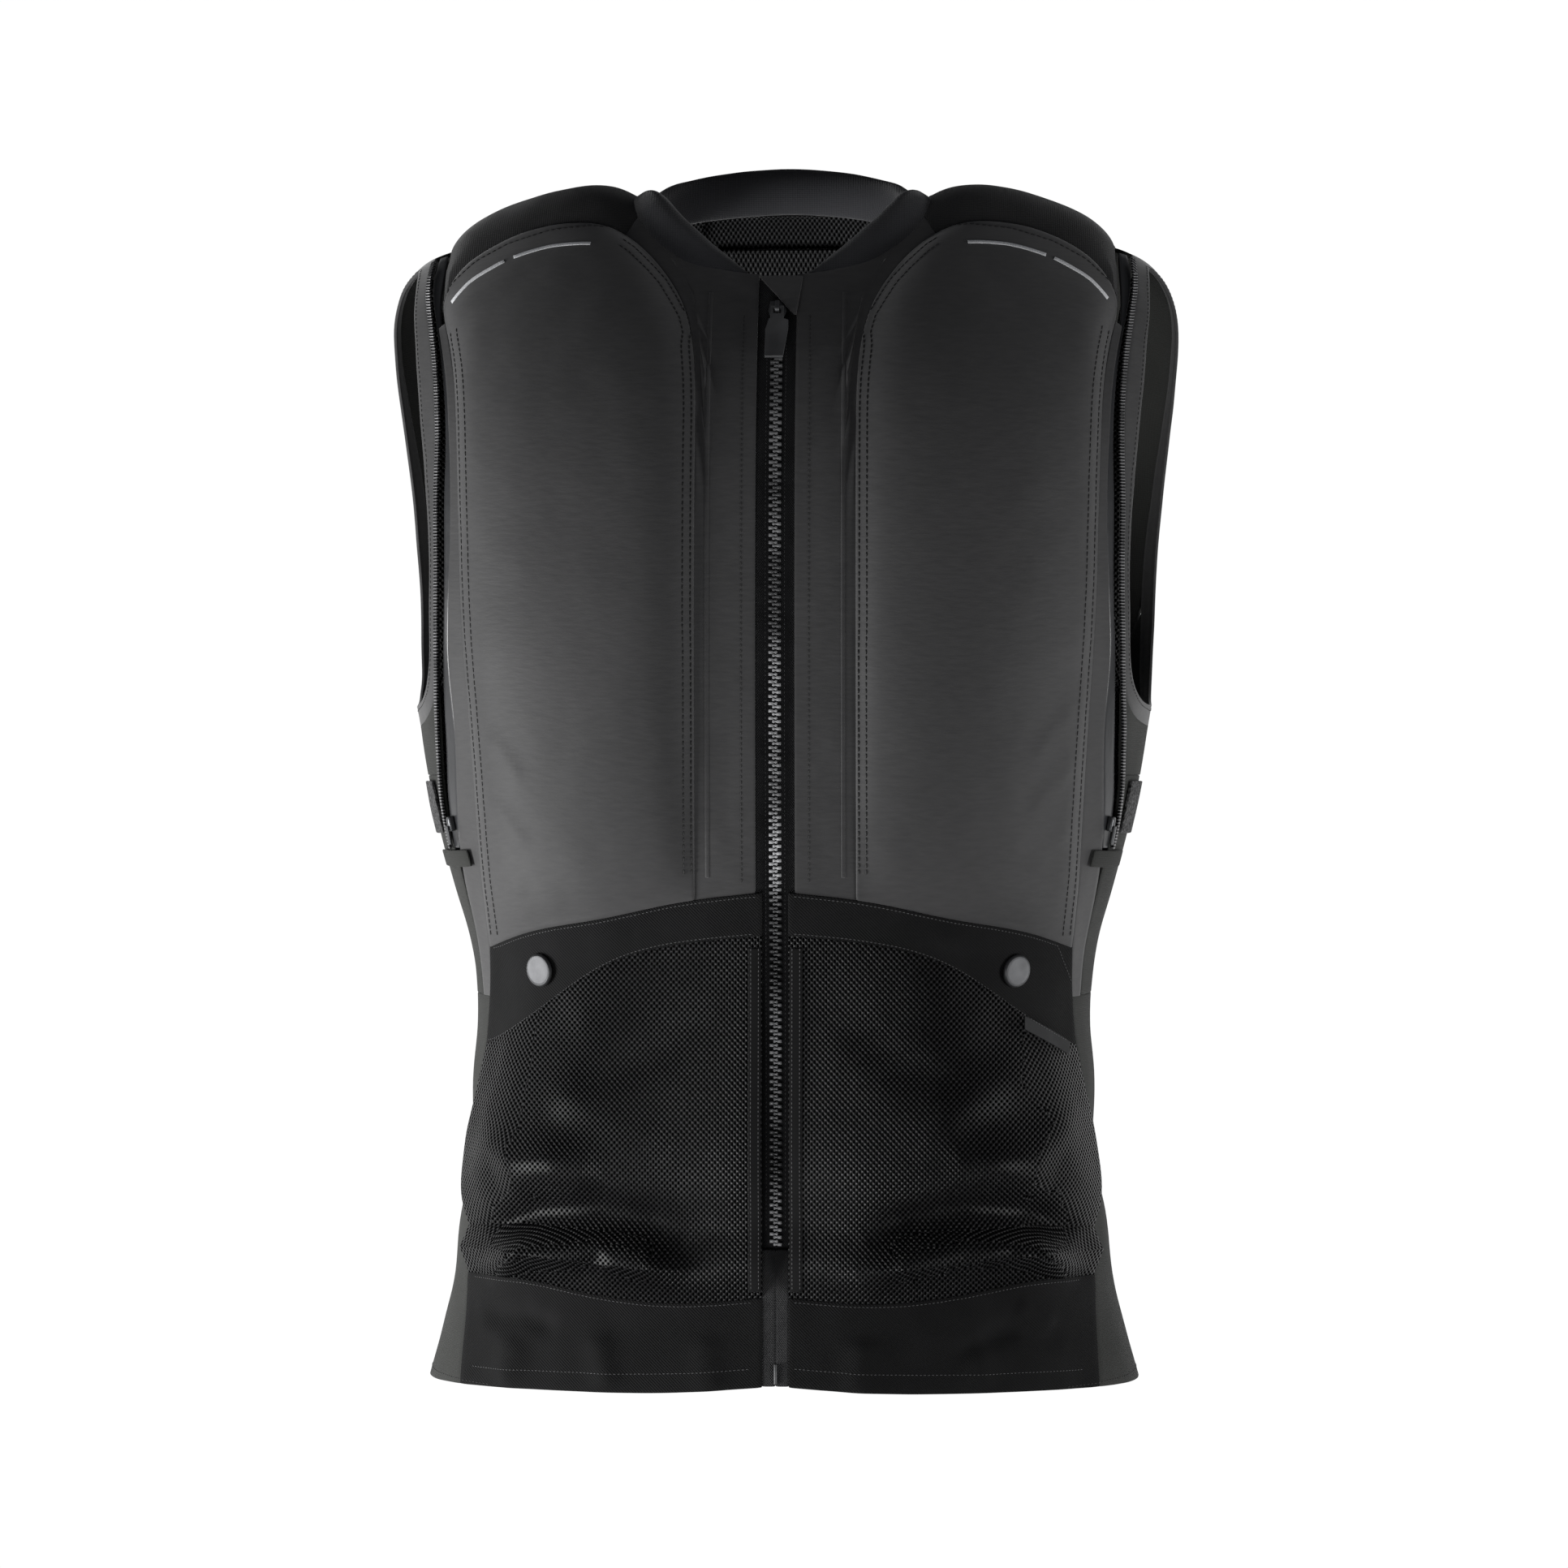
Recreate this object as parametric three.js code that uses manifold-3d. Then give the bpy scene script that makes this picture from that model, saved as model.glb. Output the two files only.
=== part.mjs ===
// A sleeveless motorcycle airbag vest that keeps its worn shape: padded chest, shoulder and back chambers, a
// softshell front with a moulded centre zip, mesh pockets under a snapped twill band, a long open zip at the
// front of each armhole, a rolled collar, stretch sides and a mesh lining.
// Millimetres, +Z up. The front faces -Y. The wearer's left is +X, and every right piece mirrors a left one.
// Heights count up from the hem. The finished group is lowered so that the shoulder rest is its origin.
import * as THREE from "three";
import initManifold from "manifold-3d";

const kernel = await initManifold();
kernel.setup();

// Driving dimensions of the trunk form that every panel is cut to.
const shoulderTop = 620;
const trunkHalfWidth = 206;
const trunkFront = 131;
const trunkBack = 121;
const restHeight = 602;

// Cloth, padding and the gaps that part neighbours.
const seamInset = 0.22;
const layerGap = 0.35;
const clothWall = 2.4;
const twillWall = 3.4;
const filmWall = 1.8;
const tapeWall = 1.0;
const padUnder = 3;
const padEdge = 3.2;
const chestCrown = 16;
const shoulderCrown = 14;
const backCrown = 13;
const liningWall = 2;
const liningGap = 1.4;
const pocketPuff = 13;

// Heights of the seams above the hem.
const pocketTopHeight = 260;
const hemBandHeight = 60;
const waistHeight = 205;
const underarmHeight = 318;
const sideZipFoot = 281;
const backYokeHeight = 574;
const liningFoot = 222;
const liningTop = 606;

// The front opening and its zip.
const frontGap = 20;
const lowerGap = 13.6;
const chainWidth = 6;
const chainProud = 2.1;
const toothPitch = 3.6;
const toothShare = 0.44;
const zipStopHeight = 84;
const zipTopHeight = 545;
const zipTapeWidth = 12;
const sliderHeight = 549;
const sliderWidth = 9;
const sliderLength = 10.5;
const sliderPlate = 1.2;
const bridgeWidth = 2;
const bridgeLength = 6.8;
const bridgeRise = 3.8;
const bridgeWall = 1.15;
const pullLength = 32;
const pullNeck = 7.6;
const pullNeckWidth = 6.6;
const pullWidth = 11.4;
const pullThick = 1.6;
const pullBar = 1.3;
const pullClearance = 0.3;
const garageTop = 566;
const garageFoot = 545.5;
const garageProud = 5;

// The neck and its collar roll.
const neckHalfWidth = 76;
const neckFront = 77;
const neckBack = 64;
const neckSquare = 2.8;
const neckSeamAngle = 60;
const yokeSeamAngle = 142;
const collarTall = 26;
const collarThick = 16;
const collarSeat = 0.8;

// The armhole, seen from the side, and the binding round it.
const armholeTall = 226;
const armholeWide = 118;
const armholeHeight = 466;
const armholeDepth = -17;
const armholeEgg = 0.28;
const armholeSquare = 0.875;
const armholeSharpen = 0.325;
const armholeRearRound = 0.2;
const slitWidth = 3.5;
const slitTopWidth = 1;
const slitTopTurn = 106;
const slitFullTurn = 170;
const bindingWidth = 10;
const coilWidth = 1.9;
const coilProud = 1.4;

// Small parts.
const capDiameter = 17;
const capTall = 3.4;
const capOut = 119;
const capHeight = 219.5;
const stripeWidth = 2.2;
const stripeThick = 0.7;
const stripeDrop = 15;
const stripeGap = 0.45;
const patchThick = 1.3;

// The trunk form, as sections from the hem up. Each length is a share of the trunk size that it follows.
const sections = [
  { up: 0.0, wide: 0.895, front: 0.915, back: 0.925, square: 2.3 },
  { up: 0.1, wide: 0.818, front: 0.9, back: 0.865, square: 2.3 },
  { up: 0.2, wide: 0.768, front: 0.893, back: 0.81, square: 2.3 },
  { up: 0.29, wide: 0.762, front: 0.895, back: 0.79, square: 2.3 },
  { up: 0.36, wide: 0.775, front: 0.91, back: 0.8, square: 2.3 },
  { up: 0.42, wide: 0.825, front: 0.94, back: 0.83, square: 2.3 },
  { up: 0.49, wide: 0.88, front: 0.97, back: 0.88, square: 2.3 },
  { up: 0.56, wide: 0.917, front: 0.993, back: 0.93, square: 2.35 },
  { up: 0.65, wide: 0.976, front: 1.0, back: 0.975, square: 2.4 },
  { up: 0.75, wide: 0.998, front: 0.968, back: 1.0, square: 2.4 },
  { up: 0.83, wide: 1.004, front: 0.862, back: 0.985, square: 2.4 },
  { up: 0.885, wide: 0.998, front: 0.705, back: 0.93, square: 2.4 },
  { up: 0.914, wide: 0.975, front: 0.6, back: 0.875, square: 2.35 },
  { up: 0.938, wide: 0.918, front: 0.512, back: 0.82, square: 2.3 },
  { up: 0.958, wide: 0.785, front: 0.435, back: 0.765, square: 2.3 },
  { up: 0.977, wide: 0.65, front: 0.34, back: 0.69, square: 2.3 },
  { up: 0.99, wide: 0.52, front: 0.22, back: 0.61, square: 2.3 },
  { up: 1.0, wide: 0.31, front: 0.06, back: 0.5, square: 2.3 },
];

// The seam lines on the front: out is a share of the trunk's half width, up of the shoulder's height.
const princessSeam = [
  { out: 0.194, up: 0.0 },
  { out: 0.194, up: 0.82 },
  { out: 0.203, up: 0.865 },
  { out: 0.238, up: 0.9 },
  { out: 0.3, up: 0.929 },
  { out: 0.352, up: 0.947 },
  { out: 0.385, up: 0.955 },
];
const frontSideSeam = [
  { out: 0.779, up: 0.0 },
  { out: 0.762, up: 0.1 },
  { out: 0.741, up: 0.2 },
  { out: 0.718, up: 0.29 },
  { out: 0.705, up: 0.35 },
  { out: 0.722, up: 0.42 },
  { out: 0.744, up: 0.548 },
  { out: 0.765, up: 0.66 },
  { out: 0.773, up: 0.76 },
  { out: 0.787, up: 0.84 },
  { out: 0.828, up: 0.89 },
];
const yokeSeam = [
  { out: 0.385, up: 0.955 },
  { out: 0.47, up: 0.9585 },
  { out: 0.57, up: 0.955 },
  { out: 0.67, up: 0.944 },
  { out: 0.745, up: 0.93 },
  { out: 0.8, up: 0.913 },
  { out: 0.828, up: 0.89 },
];
const backSideSeam = [
  { out: 0.74, up: 0.0 },
  { out: 0.66, up: 0.2 },
  { out: 0.63, up: 0.33 },
  { out: 0.7, up: 0.5 },
  { out: 0.77, up: 0.65 },
  { out: 0.8, up: 0.8 },
  { out: 0.8, up: 0.926 },
];
// The side zip's lines as shares of the trunk's front depth: the film's seam, its free edge and the rear tape.
const sideZipLines = [
  { up: 0.331, seam: 0.33, edge: 0.325, rear: 0.32 },
  { up: 0.39, seam: 0.37, edge: 0.365, rear: 0.36 },
  { up: 0.435, seam: 0.4, edge: 0.395, rear: 0.39 },
  { up: 0.453, seam: 0.435, edge: 0.385, rear: 0.362 },
  { up: 0.485, seam: 0.495, edge: 0.42, rear: 0.375 },
  { up: 0.513, seam: 0.54, edge: 0.47, rear: 0.42 },
  { up: 0.55, seam: 0.59, edge: 0.525, rear: 0.475 },
];
const filmSeam = [
  { out: 0.802, up: 0.6 },
  { out: 0.797, up: 0.66 },
  { out: 0.796, up: 0.76 },
  { out: 0.81, up: 0.84 },
  { out: 0.843, up: 0.885 },
];

// The pocket band's edges and the hem band's: how far each drops, as a share of the height it belongs to.
const bandTop = [
  { out: 0.0, drop: 0.0 },
  { out: 0.22, drop: 0.02 },
  { out: 0.42, drop: 0.055 },
  { out: 0.6, drop: 0.08 },
  { out: 0.7, drop: 0.112 },
  { out: 0.77, drop: 0.15 },
];
const bandBottom = [
  { out: 0.0, drop: 0.082 },
  { out: 0.22, drop: 0.1 },
  { out: 0.36, drop: 0.125 },
  { out: 0.46, drop: 0.165 },
  { out: 0.56, drop: 0.225 },
  { out: 0.66, drop: 0.28 },
  { out: 0.75, drop: 0.325 },
];
const hemTop = [
  { out: 0.0, drop: 0.02 },
  { out: 0.25, drop: 0.085 },
  { out: 0.45, drop: 0.03 },
  { out: 0.62, drop: -0.06 },
  { out: 0.82, drop: -0.03 },
];
const hemEdge = [
  { out: 0.0, drop: 0.75 },
  { out: 0.3, drop: 0.82 },
  { out: 0.6, drop: 0.84 },
  { out: 0.82, drop: 0.88 },
];
// How full the mesh pocket hangs, from the hem band up.
const pocketSags = [
  { up: 0.0, puff: 0.05 },
  { up: 0.1, puff: 0.75 },
  { up: 0.2, puff: 0.3 },
  { up: 0.34, puff: 1.0 },
  { up: 0.55, puff: 0.85 },
  { up: 0.8, puff: 0.45 },
  { up: 1.0, puff: 0.1 },
];
// How far the stretch side stands out in puckers, from the hem up to the waist.
const sidePuckers = [
  { up: 0.0, out: 0 },
  { up: 0.3, out: 0 },
  { up: 0.42, out: 5 },
  { up: 0.52, out: 0.8 },
  { up: 0.66, out: 1 },
  { up: 0.78, out: 4 },
  { up: 0.9, out: 0 },
  { up: 1.0, out: 0 },
];
// The binding's width round the armhole, as shares of it. turn counts up from the rear over the shoulder.
const bindingWidths = [
  { turn: -90, wide: 1.0 },
  { turn: -30, wide: 1.0 },
  { turn: 0, wide: 0.9 },
  { turn: 45, wide: 0.8 },
  { turn: 90, wide: 0.6 },
  { turn: 120, wide: 0.6 },
  { turn: 142, wide: 0.85 },
  { turn: 156, wide: 1.0 },
  { turn: 170, wide: 0.85 },
  { turn: 187, wide: 0.45 },
  { turn: 205, wide: 0.4 },
  { turn: 228, wide: 0.45 },
  { turn: 250, wide: 0.75 },
  { turn: 270, wide: 1.0 },
];
// The collar roll from its front end to the back of the neck. tall and sunk are shares of collarTall, and thick
// of collarThick. sunk is how far its foot lies under the neck seam.
const collarSizes = [
  { turn: 12, tall: 0.12, thick: 0.3, sunk: 0.0 },
  { turn: 17, tall: 0.34, thick: 0.5, sunk: 0.02 },
  { turn: 24, tall: 0.55, thick: 0.62, sunk: 0.03 },
  { turn: 36, tall: 0.8, thick: 0.75, sunk: 0.05 },
  { turn: 52, tall: 0.92, thick: 0.9, sunk: 0.12 },
  { turn: 75, tall: 0.92, thick: 1.0, sunk: 0.5 },
  { turn: 95, tall: 0.92, thick: 1.0, sunk: 0.62 },
  { turn: 125, tall: 0.95, thick: 0.95, sunk: 0.3 },
  { turn: 150, tall: 1.0, thick: 0.85, sunk: 0.08 },
  { turn: 180, tall: 1.0, thick: 0.82, sunk: 0.0 },
];

// Blends and smooth tables.
const mix = (a, b, t) => a + (b - a) * t;
const clamp = (t) => Math.min(1, Math.max(0, t));
const radians = THREE.MathUtils.degToRad;

// A cubic that never overshoots its rows, of column value against column at.
function smoothColumn(rows, at, value) {
  const last = rows.length - 1;
  const slopes = rows.slice(1).map((row, i) => (row[value] - rows[i][value]) / (row[at] - rows[i][at]));
  const tangents = rows.map((row, i) => {
    if (i === 0) return slopes[0];
    if (i === last) return slopes[last - 1];
    const [before, after] = [slopes[i - 1], slopes[i]];
    return before * after <= 0 ? 0 : (2 * before * after) / (before + after);
  });
  return (x) => {
    if (x <= rows[0][at]) return rows[0][value];
    if (x >= rows[last][at]) return rows[last][value];
    const i = rows.findIndex((row, k) => k < last && x <= rows[k + 1][at]);
    const step = rows[i + 1][at] - rows[i][at];
    const t = (x - rows[i][at]) / step;
    const bend = 3 * t * t - 2 * t * t * t;
    const entry = tangents[i] * step * t * (1 - t) * (1 - t);
    const exit = tangents[i + 1] * step * t * t * (t - 1);
    return mix(rows[i][value], rows[i + 1][value], bend) + entry + exit;
  };
}

// The trunk form's section at a height.
const share = {
  wide: smoothColumn(sections, "up", "wide"),
  front: smoothColumn(sections, "up", "front"),
  back: smoothColumn(sections, "up", "back"),
  square: smoothColumn(sections, "up", "square"),
};
function sectionAt(z) {
  const up = clamp(z / shoulderTop);
  return {
    wide: trunkHalfWidth * share.wide(up),
    front: trunkFront * share.front(up),
    back: trunkBack * share.back(up),
    square: share.square(up),
  };
}

// 0 on the form, less inside it and more outside.
function outside(x, y, z) {
  const s = sectionAt(z);
  const deep = y < 0 ? s.front : s.back;
  const reach = (Math.abs(x) / s.wide) ** s.square + (Math.abs(y) / deep) ** s.square;
  return reach ** (1 / s.square) - 1 + Math.max(0, z - shoulderTop) / trunkFront;
}
function slopeAt(p) {
  const h = 0.4;
  return new THREE.Vector3(
    outside(p.x + h, p.y, p.z) - outside(p.x - h, p.y, p.z),
    outside(p.x, p.y + h, p.z) - outside(p.x, p.y - h, p.z),
    outside(p.x, p.y, p.z + h) - outside(p.x, p.y, p.z - h),
  ).divideScalar(2 * h);
}
const outward = (p) => slopeAt(p).normalize();

// Moves a point that is near the form onto it.
function drape(p) {
  const q = p.clone();
  for (let step = 0; step < 8; step++) {
    const slope = slopeAt(q);
    q.addScaledVector(slope, -outside(q.x, q.y, q.z) / slope.lengthSq());
  }
  return q;
}

// Points of the form: on its front and back at x, on its side at y, and on its top over x and y.
const rounded = (part, whole, square) => (1 - clamp(Math.abs(part) / whole) ** square) ** (1 / square);
function onFront(x, z) {
  const s = sectionAt(z);
  return new THREE.Vector3(x, -s.front * rounded(x, s.wide, s.square), z);
}
function onBack(x, z) {
  const s = sectionAt(z);
  return new THREE.Vector3(x, s.back * rounded(x, s.wide, s.square), z);
}
function onSide(y, z) {
  const s = sectionAt(z);
  return new THREE.Vector3(s.wide * rounded(y, y < 0 ? s.front : s.back, s.square), y, z);
}
function onTop(x, y) {
  let [low, high] = [shoulderTop / 2, shoulderTop];
  for (let step = 0; step < 40; step++) {
    const middle = (low + high) / 2;
    if (outside(x, y, middle) < 0) low = middle;
    else high = middle;
  }
  return new THREE.Vector3(x, y, low);
}

// Curves on the form are functions of t from 0 to 1.
function through(points) {
  const line = new THREE.CatmullRomCurve3(points, false, "centripetal");
  line.arcLengthDivisions = 300;
  return (t) => drape(line.getPointAt(clamp(t)));
}
// Joins curves end to end. steps says how many of the panel's rows or columns each one takes.
function joined(legs) {
  const total = legs.reduce((sum, leg) => sum + leg.steps, 0);
  return (t) => {
    let at = clamp(t) * total;
    for (const leg of legs) {
      if (at <= leg.steps + 1e-6) return leg.curve(clamp(at / leg.steps));
      at -= leg.steps;
    }
    return legs[legs.length - 1].curve(1);
  };
}
const part = (curve, from, to) => (t) => curve(mix(from, to, t));
const straight = (a, b) => (t) => drape(a.clone().lerp(b, t));
const seamPoint = (row) => onFront(row.out * trunkHalfWidth, row.up * shoulderTop);
const outAt = (rows) => {
  const out = smoothColumn(rows, "up", "out");
  return (z) => trunkHalfWidth * out(z / shoulderTop);
};
const heightAt = (rows, span) => {
  const drop = smoothColumn(rows, "out", "drop");
  return (x) => span * (1 - drop(Math.abs(x) / trunkHalfWidth));
};
const depthAt = (column) => {
  const deep = smoothColumn(sideZipLines, "up", column);
  return (z) => -trunkFront * deep(z / shoulderTop);
};
const princessX = outAt(princessSeam);
const sideX = outAt(frontSideSeam);
const backX = outAt(backSideSeam);
const bandTopHeight = heightAt(bandTop, pocketTopHeight);
const bandBottomHeight = heightAt(bandBottom, pocketTopHeight);
const hemTopHeight = heightAt(hemTop, hemBandHeight);
const hemEdgeHeight = heightAt(hemEdge, hemBandHeight);

// A seam that runs across the front at a height that follows x, out to the side seam.
function crossSeam(height, from, lift = 0) {
  let to = sideX(height(trunkHalfWidth));
  for (let step = 0; step < 20; step++) to = sideX(height(to) + lift);
  return (t) => {
    const x = mix(from, to, t);
    return onFront(x, height(x) + lift);
  };
}
const upFront = (xAt, from, to) => (t) => onFront(xAt(mix(from, to, t)), mix(from, to, t));
const upBack = (xAt, from, to) => (t) => onBack(xAt(mix(from, to, t)), mix(from, to, t));
const upSide = (yAt, from, to) => (t) => onSide(yAt(mix(from, to, t)), mix(from, to, t));
const around = (from, to) => {
  const [a, b] = [Math.atan2(from.x, -from.y), Math.atan2(to.x, -to.y)];
  return (t) => {
    const angle = mix(a, b, t);
    const z = mix(from.z, to.z, t);
    const s = sectionAt(z);
    const deep = Math.cos(angle) > 0 ? s.front : s.back;
    const across = (Math.abs(Math.sin(angle)) / s.wide) ** s.square;
    const reach = (across + (Math.abs(Math.cos(angle)) / deep) ** s.square) ** (-1 / s.square);
    return new THREE.Vector3(reach * Math.sin(angle), -reach * Math.cos(angle), z);
  };
};

// The neck seam, by the turn from the front's middle in degrees.
function neckPoint(turn, grow = 0) {
  const [s, c] = [Math.sin(radians(turn)), Math.cos(radians(turn))];
  const deep = (c > 0 ? neckFront : neckBack) + grow;
  const across = (Math.abs(s) / (neckHalfWidth + grow)) ** neckSquare;
  const reach = (across + (Math.abs(c) / deep) ** neckSquare) ** (-1 / neckSquare);
  return onTop(reach * s, -reach * c);
}
const neckArc = (from, to) => (t) => neckPoint(mix(from, to, t));

// The armhole's edge, by the turn from its rear over the shoulder in degrees.
function armholePoint(turn, grow = 0) {
  const [c, s] = [Math.cos(radians(turn)), Math.sin(radians(turn))];
  const square = armholeSquare + armholeSharpen * s + (c > 0 ? armholeRearRound : 0);
  const reach = (armholeWide / 2 + grow) * (1 - armholeEgg * s);
  const y = armholeDepth + Math.sign(c) * reach * Math.abs(c) ** square;
  return onSide(y, armholeHeight + (armholeTall / 2 + grow) * s);
}
const bindingShare = smoothColumn(bindingWidths, "turn", "wide");
const bindingGrow = (turn) => bindingWidth * bindingShare(turn > 270 ? turn - 360 : turn);
const bindingArc = (from, to, extra = 0) => (t) => {
  const turn = mix(from, to, t);
  return armholePoint(turn, bindingGrow(turn) + extra);
};

// A closed solid from points and faces. The faces are turned together so that they point out.
function solid(points, faces) {
  let volume = 0;
  for (let i = 0; i < faces.length; i += 3) {
    const [a, b, c] = [points[faces[i]], points[faces[i + 1]], points[faces[i + 2]]];
    volume += a.dot(b.clone().cross(c));
  }
  const geometry = new THREE.BufferGeometry();
  const positions = points.flatMap((p) => [p.x, p.y, p.z]);
  geometry.setAttribute("position", new THREE.Float32BufferAttribute(positions, 3));
  geometry.setIndex(volume < 0 ? faces.slice().reverse() : faces);
  geometry.computeVertexNormals();
  return geometry;
}

// A closed wall between an outer and an inner sheet of points, given as rows of columns. A looped wall's last
// row joins its first.
function wall(outer, inner, looped = false) {
  const [rows, columns] = [outer.length, outer[0].length];
  const at = (sheet, row, column) => (sheet * rows + (row % rows)) * columns + column;
  const faces = [];
  const quad = (a, b, c, d) => faces.push(a, b, c, a, c, d);
  for (let r = 0; r < (looped ? rows : rows - 1); r++) {
    for (let c = 0; c < columns - 1; c++) {
      quad(at(0, r, c), at(0, r, c + 1), at(0, r + 1, c + 1), at(0, r + 1, c));
      quad(at(1, r, c), at(1, r + 1, c), at(1, r + 1, c + 1), at(1, r, c + 1));
    }
    quad(at(0, r, 0), at(0, r + 1, 0), at(1, r + 1, 0), at(1, r, 0));
    quad(at(1, r, columns - 1), at(1, r + 1, columns - 1), at(0, r + 1, columns - 1), at(0, r, columns - 1));
  }
  if (!looped) {
    for (let c = 0; c < columns - 1; c++) {
      quad(at(1, 0, c), at(1, 0, c + 1), at(0, 0, c + 1), at(0, 0, c));
      quad(at(0, rows - 1, c), at(0, rows - 1, c + 1), at(1, rows - 1, c + 1), at(1, rows - 1, c));
    }
  }
  return solid([...outer.flat(), ...inner.flat()], faces);
}

const flat = (height) => () => height;
const easing = (t, amount) => mix(t, 0.5 - 0.5 * Math.cos(Math.PI * t), amount);

// A panel cut to the form between four seams. over and under say how far its faces lie from the form.
function panel({ south, north, west, east, across, along, over, under, ease = [0, 0] }) {
  const corners = [south(0), south(1), north(0), north(1)];
  const [outer, inner] = [[], []];
  for (let r = 0; r <= along; r++) {
    const w0 = easing(r / along, ease[1]);
    const outerRow = [];
    const innerRow = [];
    for (let c = 0; c <= across; c++) {
      const u0 = easing(c / across, ease[0]);
      const place = (u, w) => {
        const p = south(u).multiplyScalar(1 - w).addScaledVector(north(u), w);
        p.addScaledVector(west(w), 1 - u).addScaledVector(east(w), u);
        p.addScaledVector(corners[0], -(1 - u) * (1 - w)).addScaledVector(corners[1], -u * (1 - w));
        return p.addScaledVector(corners[2], -(1 - u) * w).addScaledVector(corners[3], -u * w);
      };
      const p = place(u0, w0);
      const edgeU = Math.min(0.25, seamInset / west(w0).distanceTo(east(w0)));
      const edgeW = Math.min(0.25, seamInset / south(u0).distanceTo(north(u0)));
      if (c === 0) p.lerp(place(easing(1 / across, ease[0]), w0), edgeU / easing(1 / across, ease[0]));
      if (c === across) p.lerp(place(1 - easing(1 / across, ease[0]), w0), edgeU / easing(1 / across, ease[0]));
      if (r === 0) p.addScaledVector(place(u0, easing(1 / along, ease[1])).sub(place(u0, w0)),
        edgeW / easing(1 / along, ease[1]));
      if (r === along) p.addScaledVector(place(u0, 1 - easing(1 / along, ease[1])).sub(place(u0, w0)),
        edgeW / easing(1 / along, ease[1]));
      const q = drape(p);
      const normal = outward(q);
      outerRow.push(q.clone().addScaledVector(normal, over(u0, w0)));
      innerRow.push(q.clone().addScaledVector(normal, under(u0, w0)));
    }
    outer.push(outerRow);
    inner.push(innerRow);
  }
  return wall(outer, inner);
}

// A strip between two curves, crossed by straight lines that are laid on the form.
function strip({ west, east, across, along, over, under, inset = seamInset, ends = seamInset }) {
  const [outer, inner] = [[], []];
  const long = west(0).distanceTo(west(1));
  for (let r = 0; r <= along; r++) {
    const w = mix(ends / long, 1 - ends / long, r / along);
    const [a, b] = [west(w), east(w)];
    const edge = Math.min(0.3, inset / a.distanceTo(b));
    const [outerRow, innerRow] = [[], []];
    for (let c = 0; c <= across; c++) {
      const p = drape(a.clone().lerp(b, mix(edge, 1 - edge, c / across)));
      const normal = outward(p);
      outerRow.push(p.clone().addScaledVector(normal, over(c / across, r / along, p)));
      innerRow.push(p.clone().addScaledVector(normal, under(c / across, r / along, p)));
    }
    outer.push(outerRow);
    inner.push(innerRow);
  }
  return wall(outer, inner);
}

// Full in the middle and steep at its seams, as an inflated chamber is.
const swell = (t) => (1 - Math.abs(2 * clamp(t) - 1) ** 3) ** 0.6;
const fromEdge = (t, floor) => mix(floor, 1, swell(0.5 * clamp(t)));
const yokeFloor = 0.55;
const chestHeight = (u, w) =>
  padEdge + (chestCrown - padEdge) * swell(u) * fromEdge(2.4 * w, 0) * fromEdge(2.2 * (1 - w), yokeFloor);
const shoulderHeight = (u, w) =>
  padEdge + (shoulderCrown - padEdge) * swell(u) * fromEdge(3 * w, yokeFloor) * fromEdge(3 * (1 - w), 0.2);
const backHeight = (u, w) => padEdge + (backCrown - padEdge) * swell(u) * fromEdge(3 * w, 0) * fromEdge(4 * (1 - w), 0.2);
const puffAt = smoothColumn(pocketSags, "up", "puff");
const pocketHeight = (u, w) => clothWall + pocketPuff * puffAt(w) * mix(0.35, 1, swell(mix(0.08, 0.92, u)));
const puckerAt = smoothColumn(sidePuckers, "up", "out");

// The chest chamber, between the princess seam, the side seam, the yoke and the pocket band.
const yokeCurve = through(yokeSeam.map(seamPoint));
const seamCorner = yokeCurve(0);
const shoulderCorner = yokeCurve(1);
const chestFoot = (() => {
  const from = princessX(pocketTopHeight);
  return crossSeam(bandTopHeight, from, layerGap);
})();
const princessCurve = (() => {
  const foot = chestFoot(0).z;
  const points = [0, 0.12, 0.24, 0.36, 0.48, 0.6, 0.72].map((t) => {
    const z = mix(foot, seamCorner.z, t);
    return onFront(princessX(z), z);
  });
  const low = mix(foot, seamCorner.z, 0.8);
  return through([...points, ...princessSeam.filter((row) => row.up * shoulderTop > low).map(seamPoint)]);
})();
const chestSideCurve = (() => {
  const foot = chestFoot(1).z;
  const steps = [0, 0.2, 0.4, 0.6, 0.8, 0.88, 0.94];
  const points = steps.map((t) => mix(foot, shoulderCorner.z, t)).map((z) => onFront(sideX(z), z));
  return through([...points, shoulderCorner]);
})();
const [padColumns, princessRows] = [7, 13];
const chestChamber = () =>
  panel({
    south: chestFoot, north: yokeCurve, west: princessCurve, east: chestSideCurve,
    across: padColumns, along: princessRows, ease: [0.5, 0.5], over: chestHeight, under: flat(-padUnder),
  });

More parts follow.
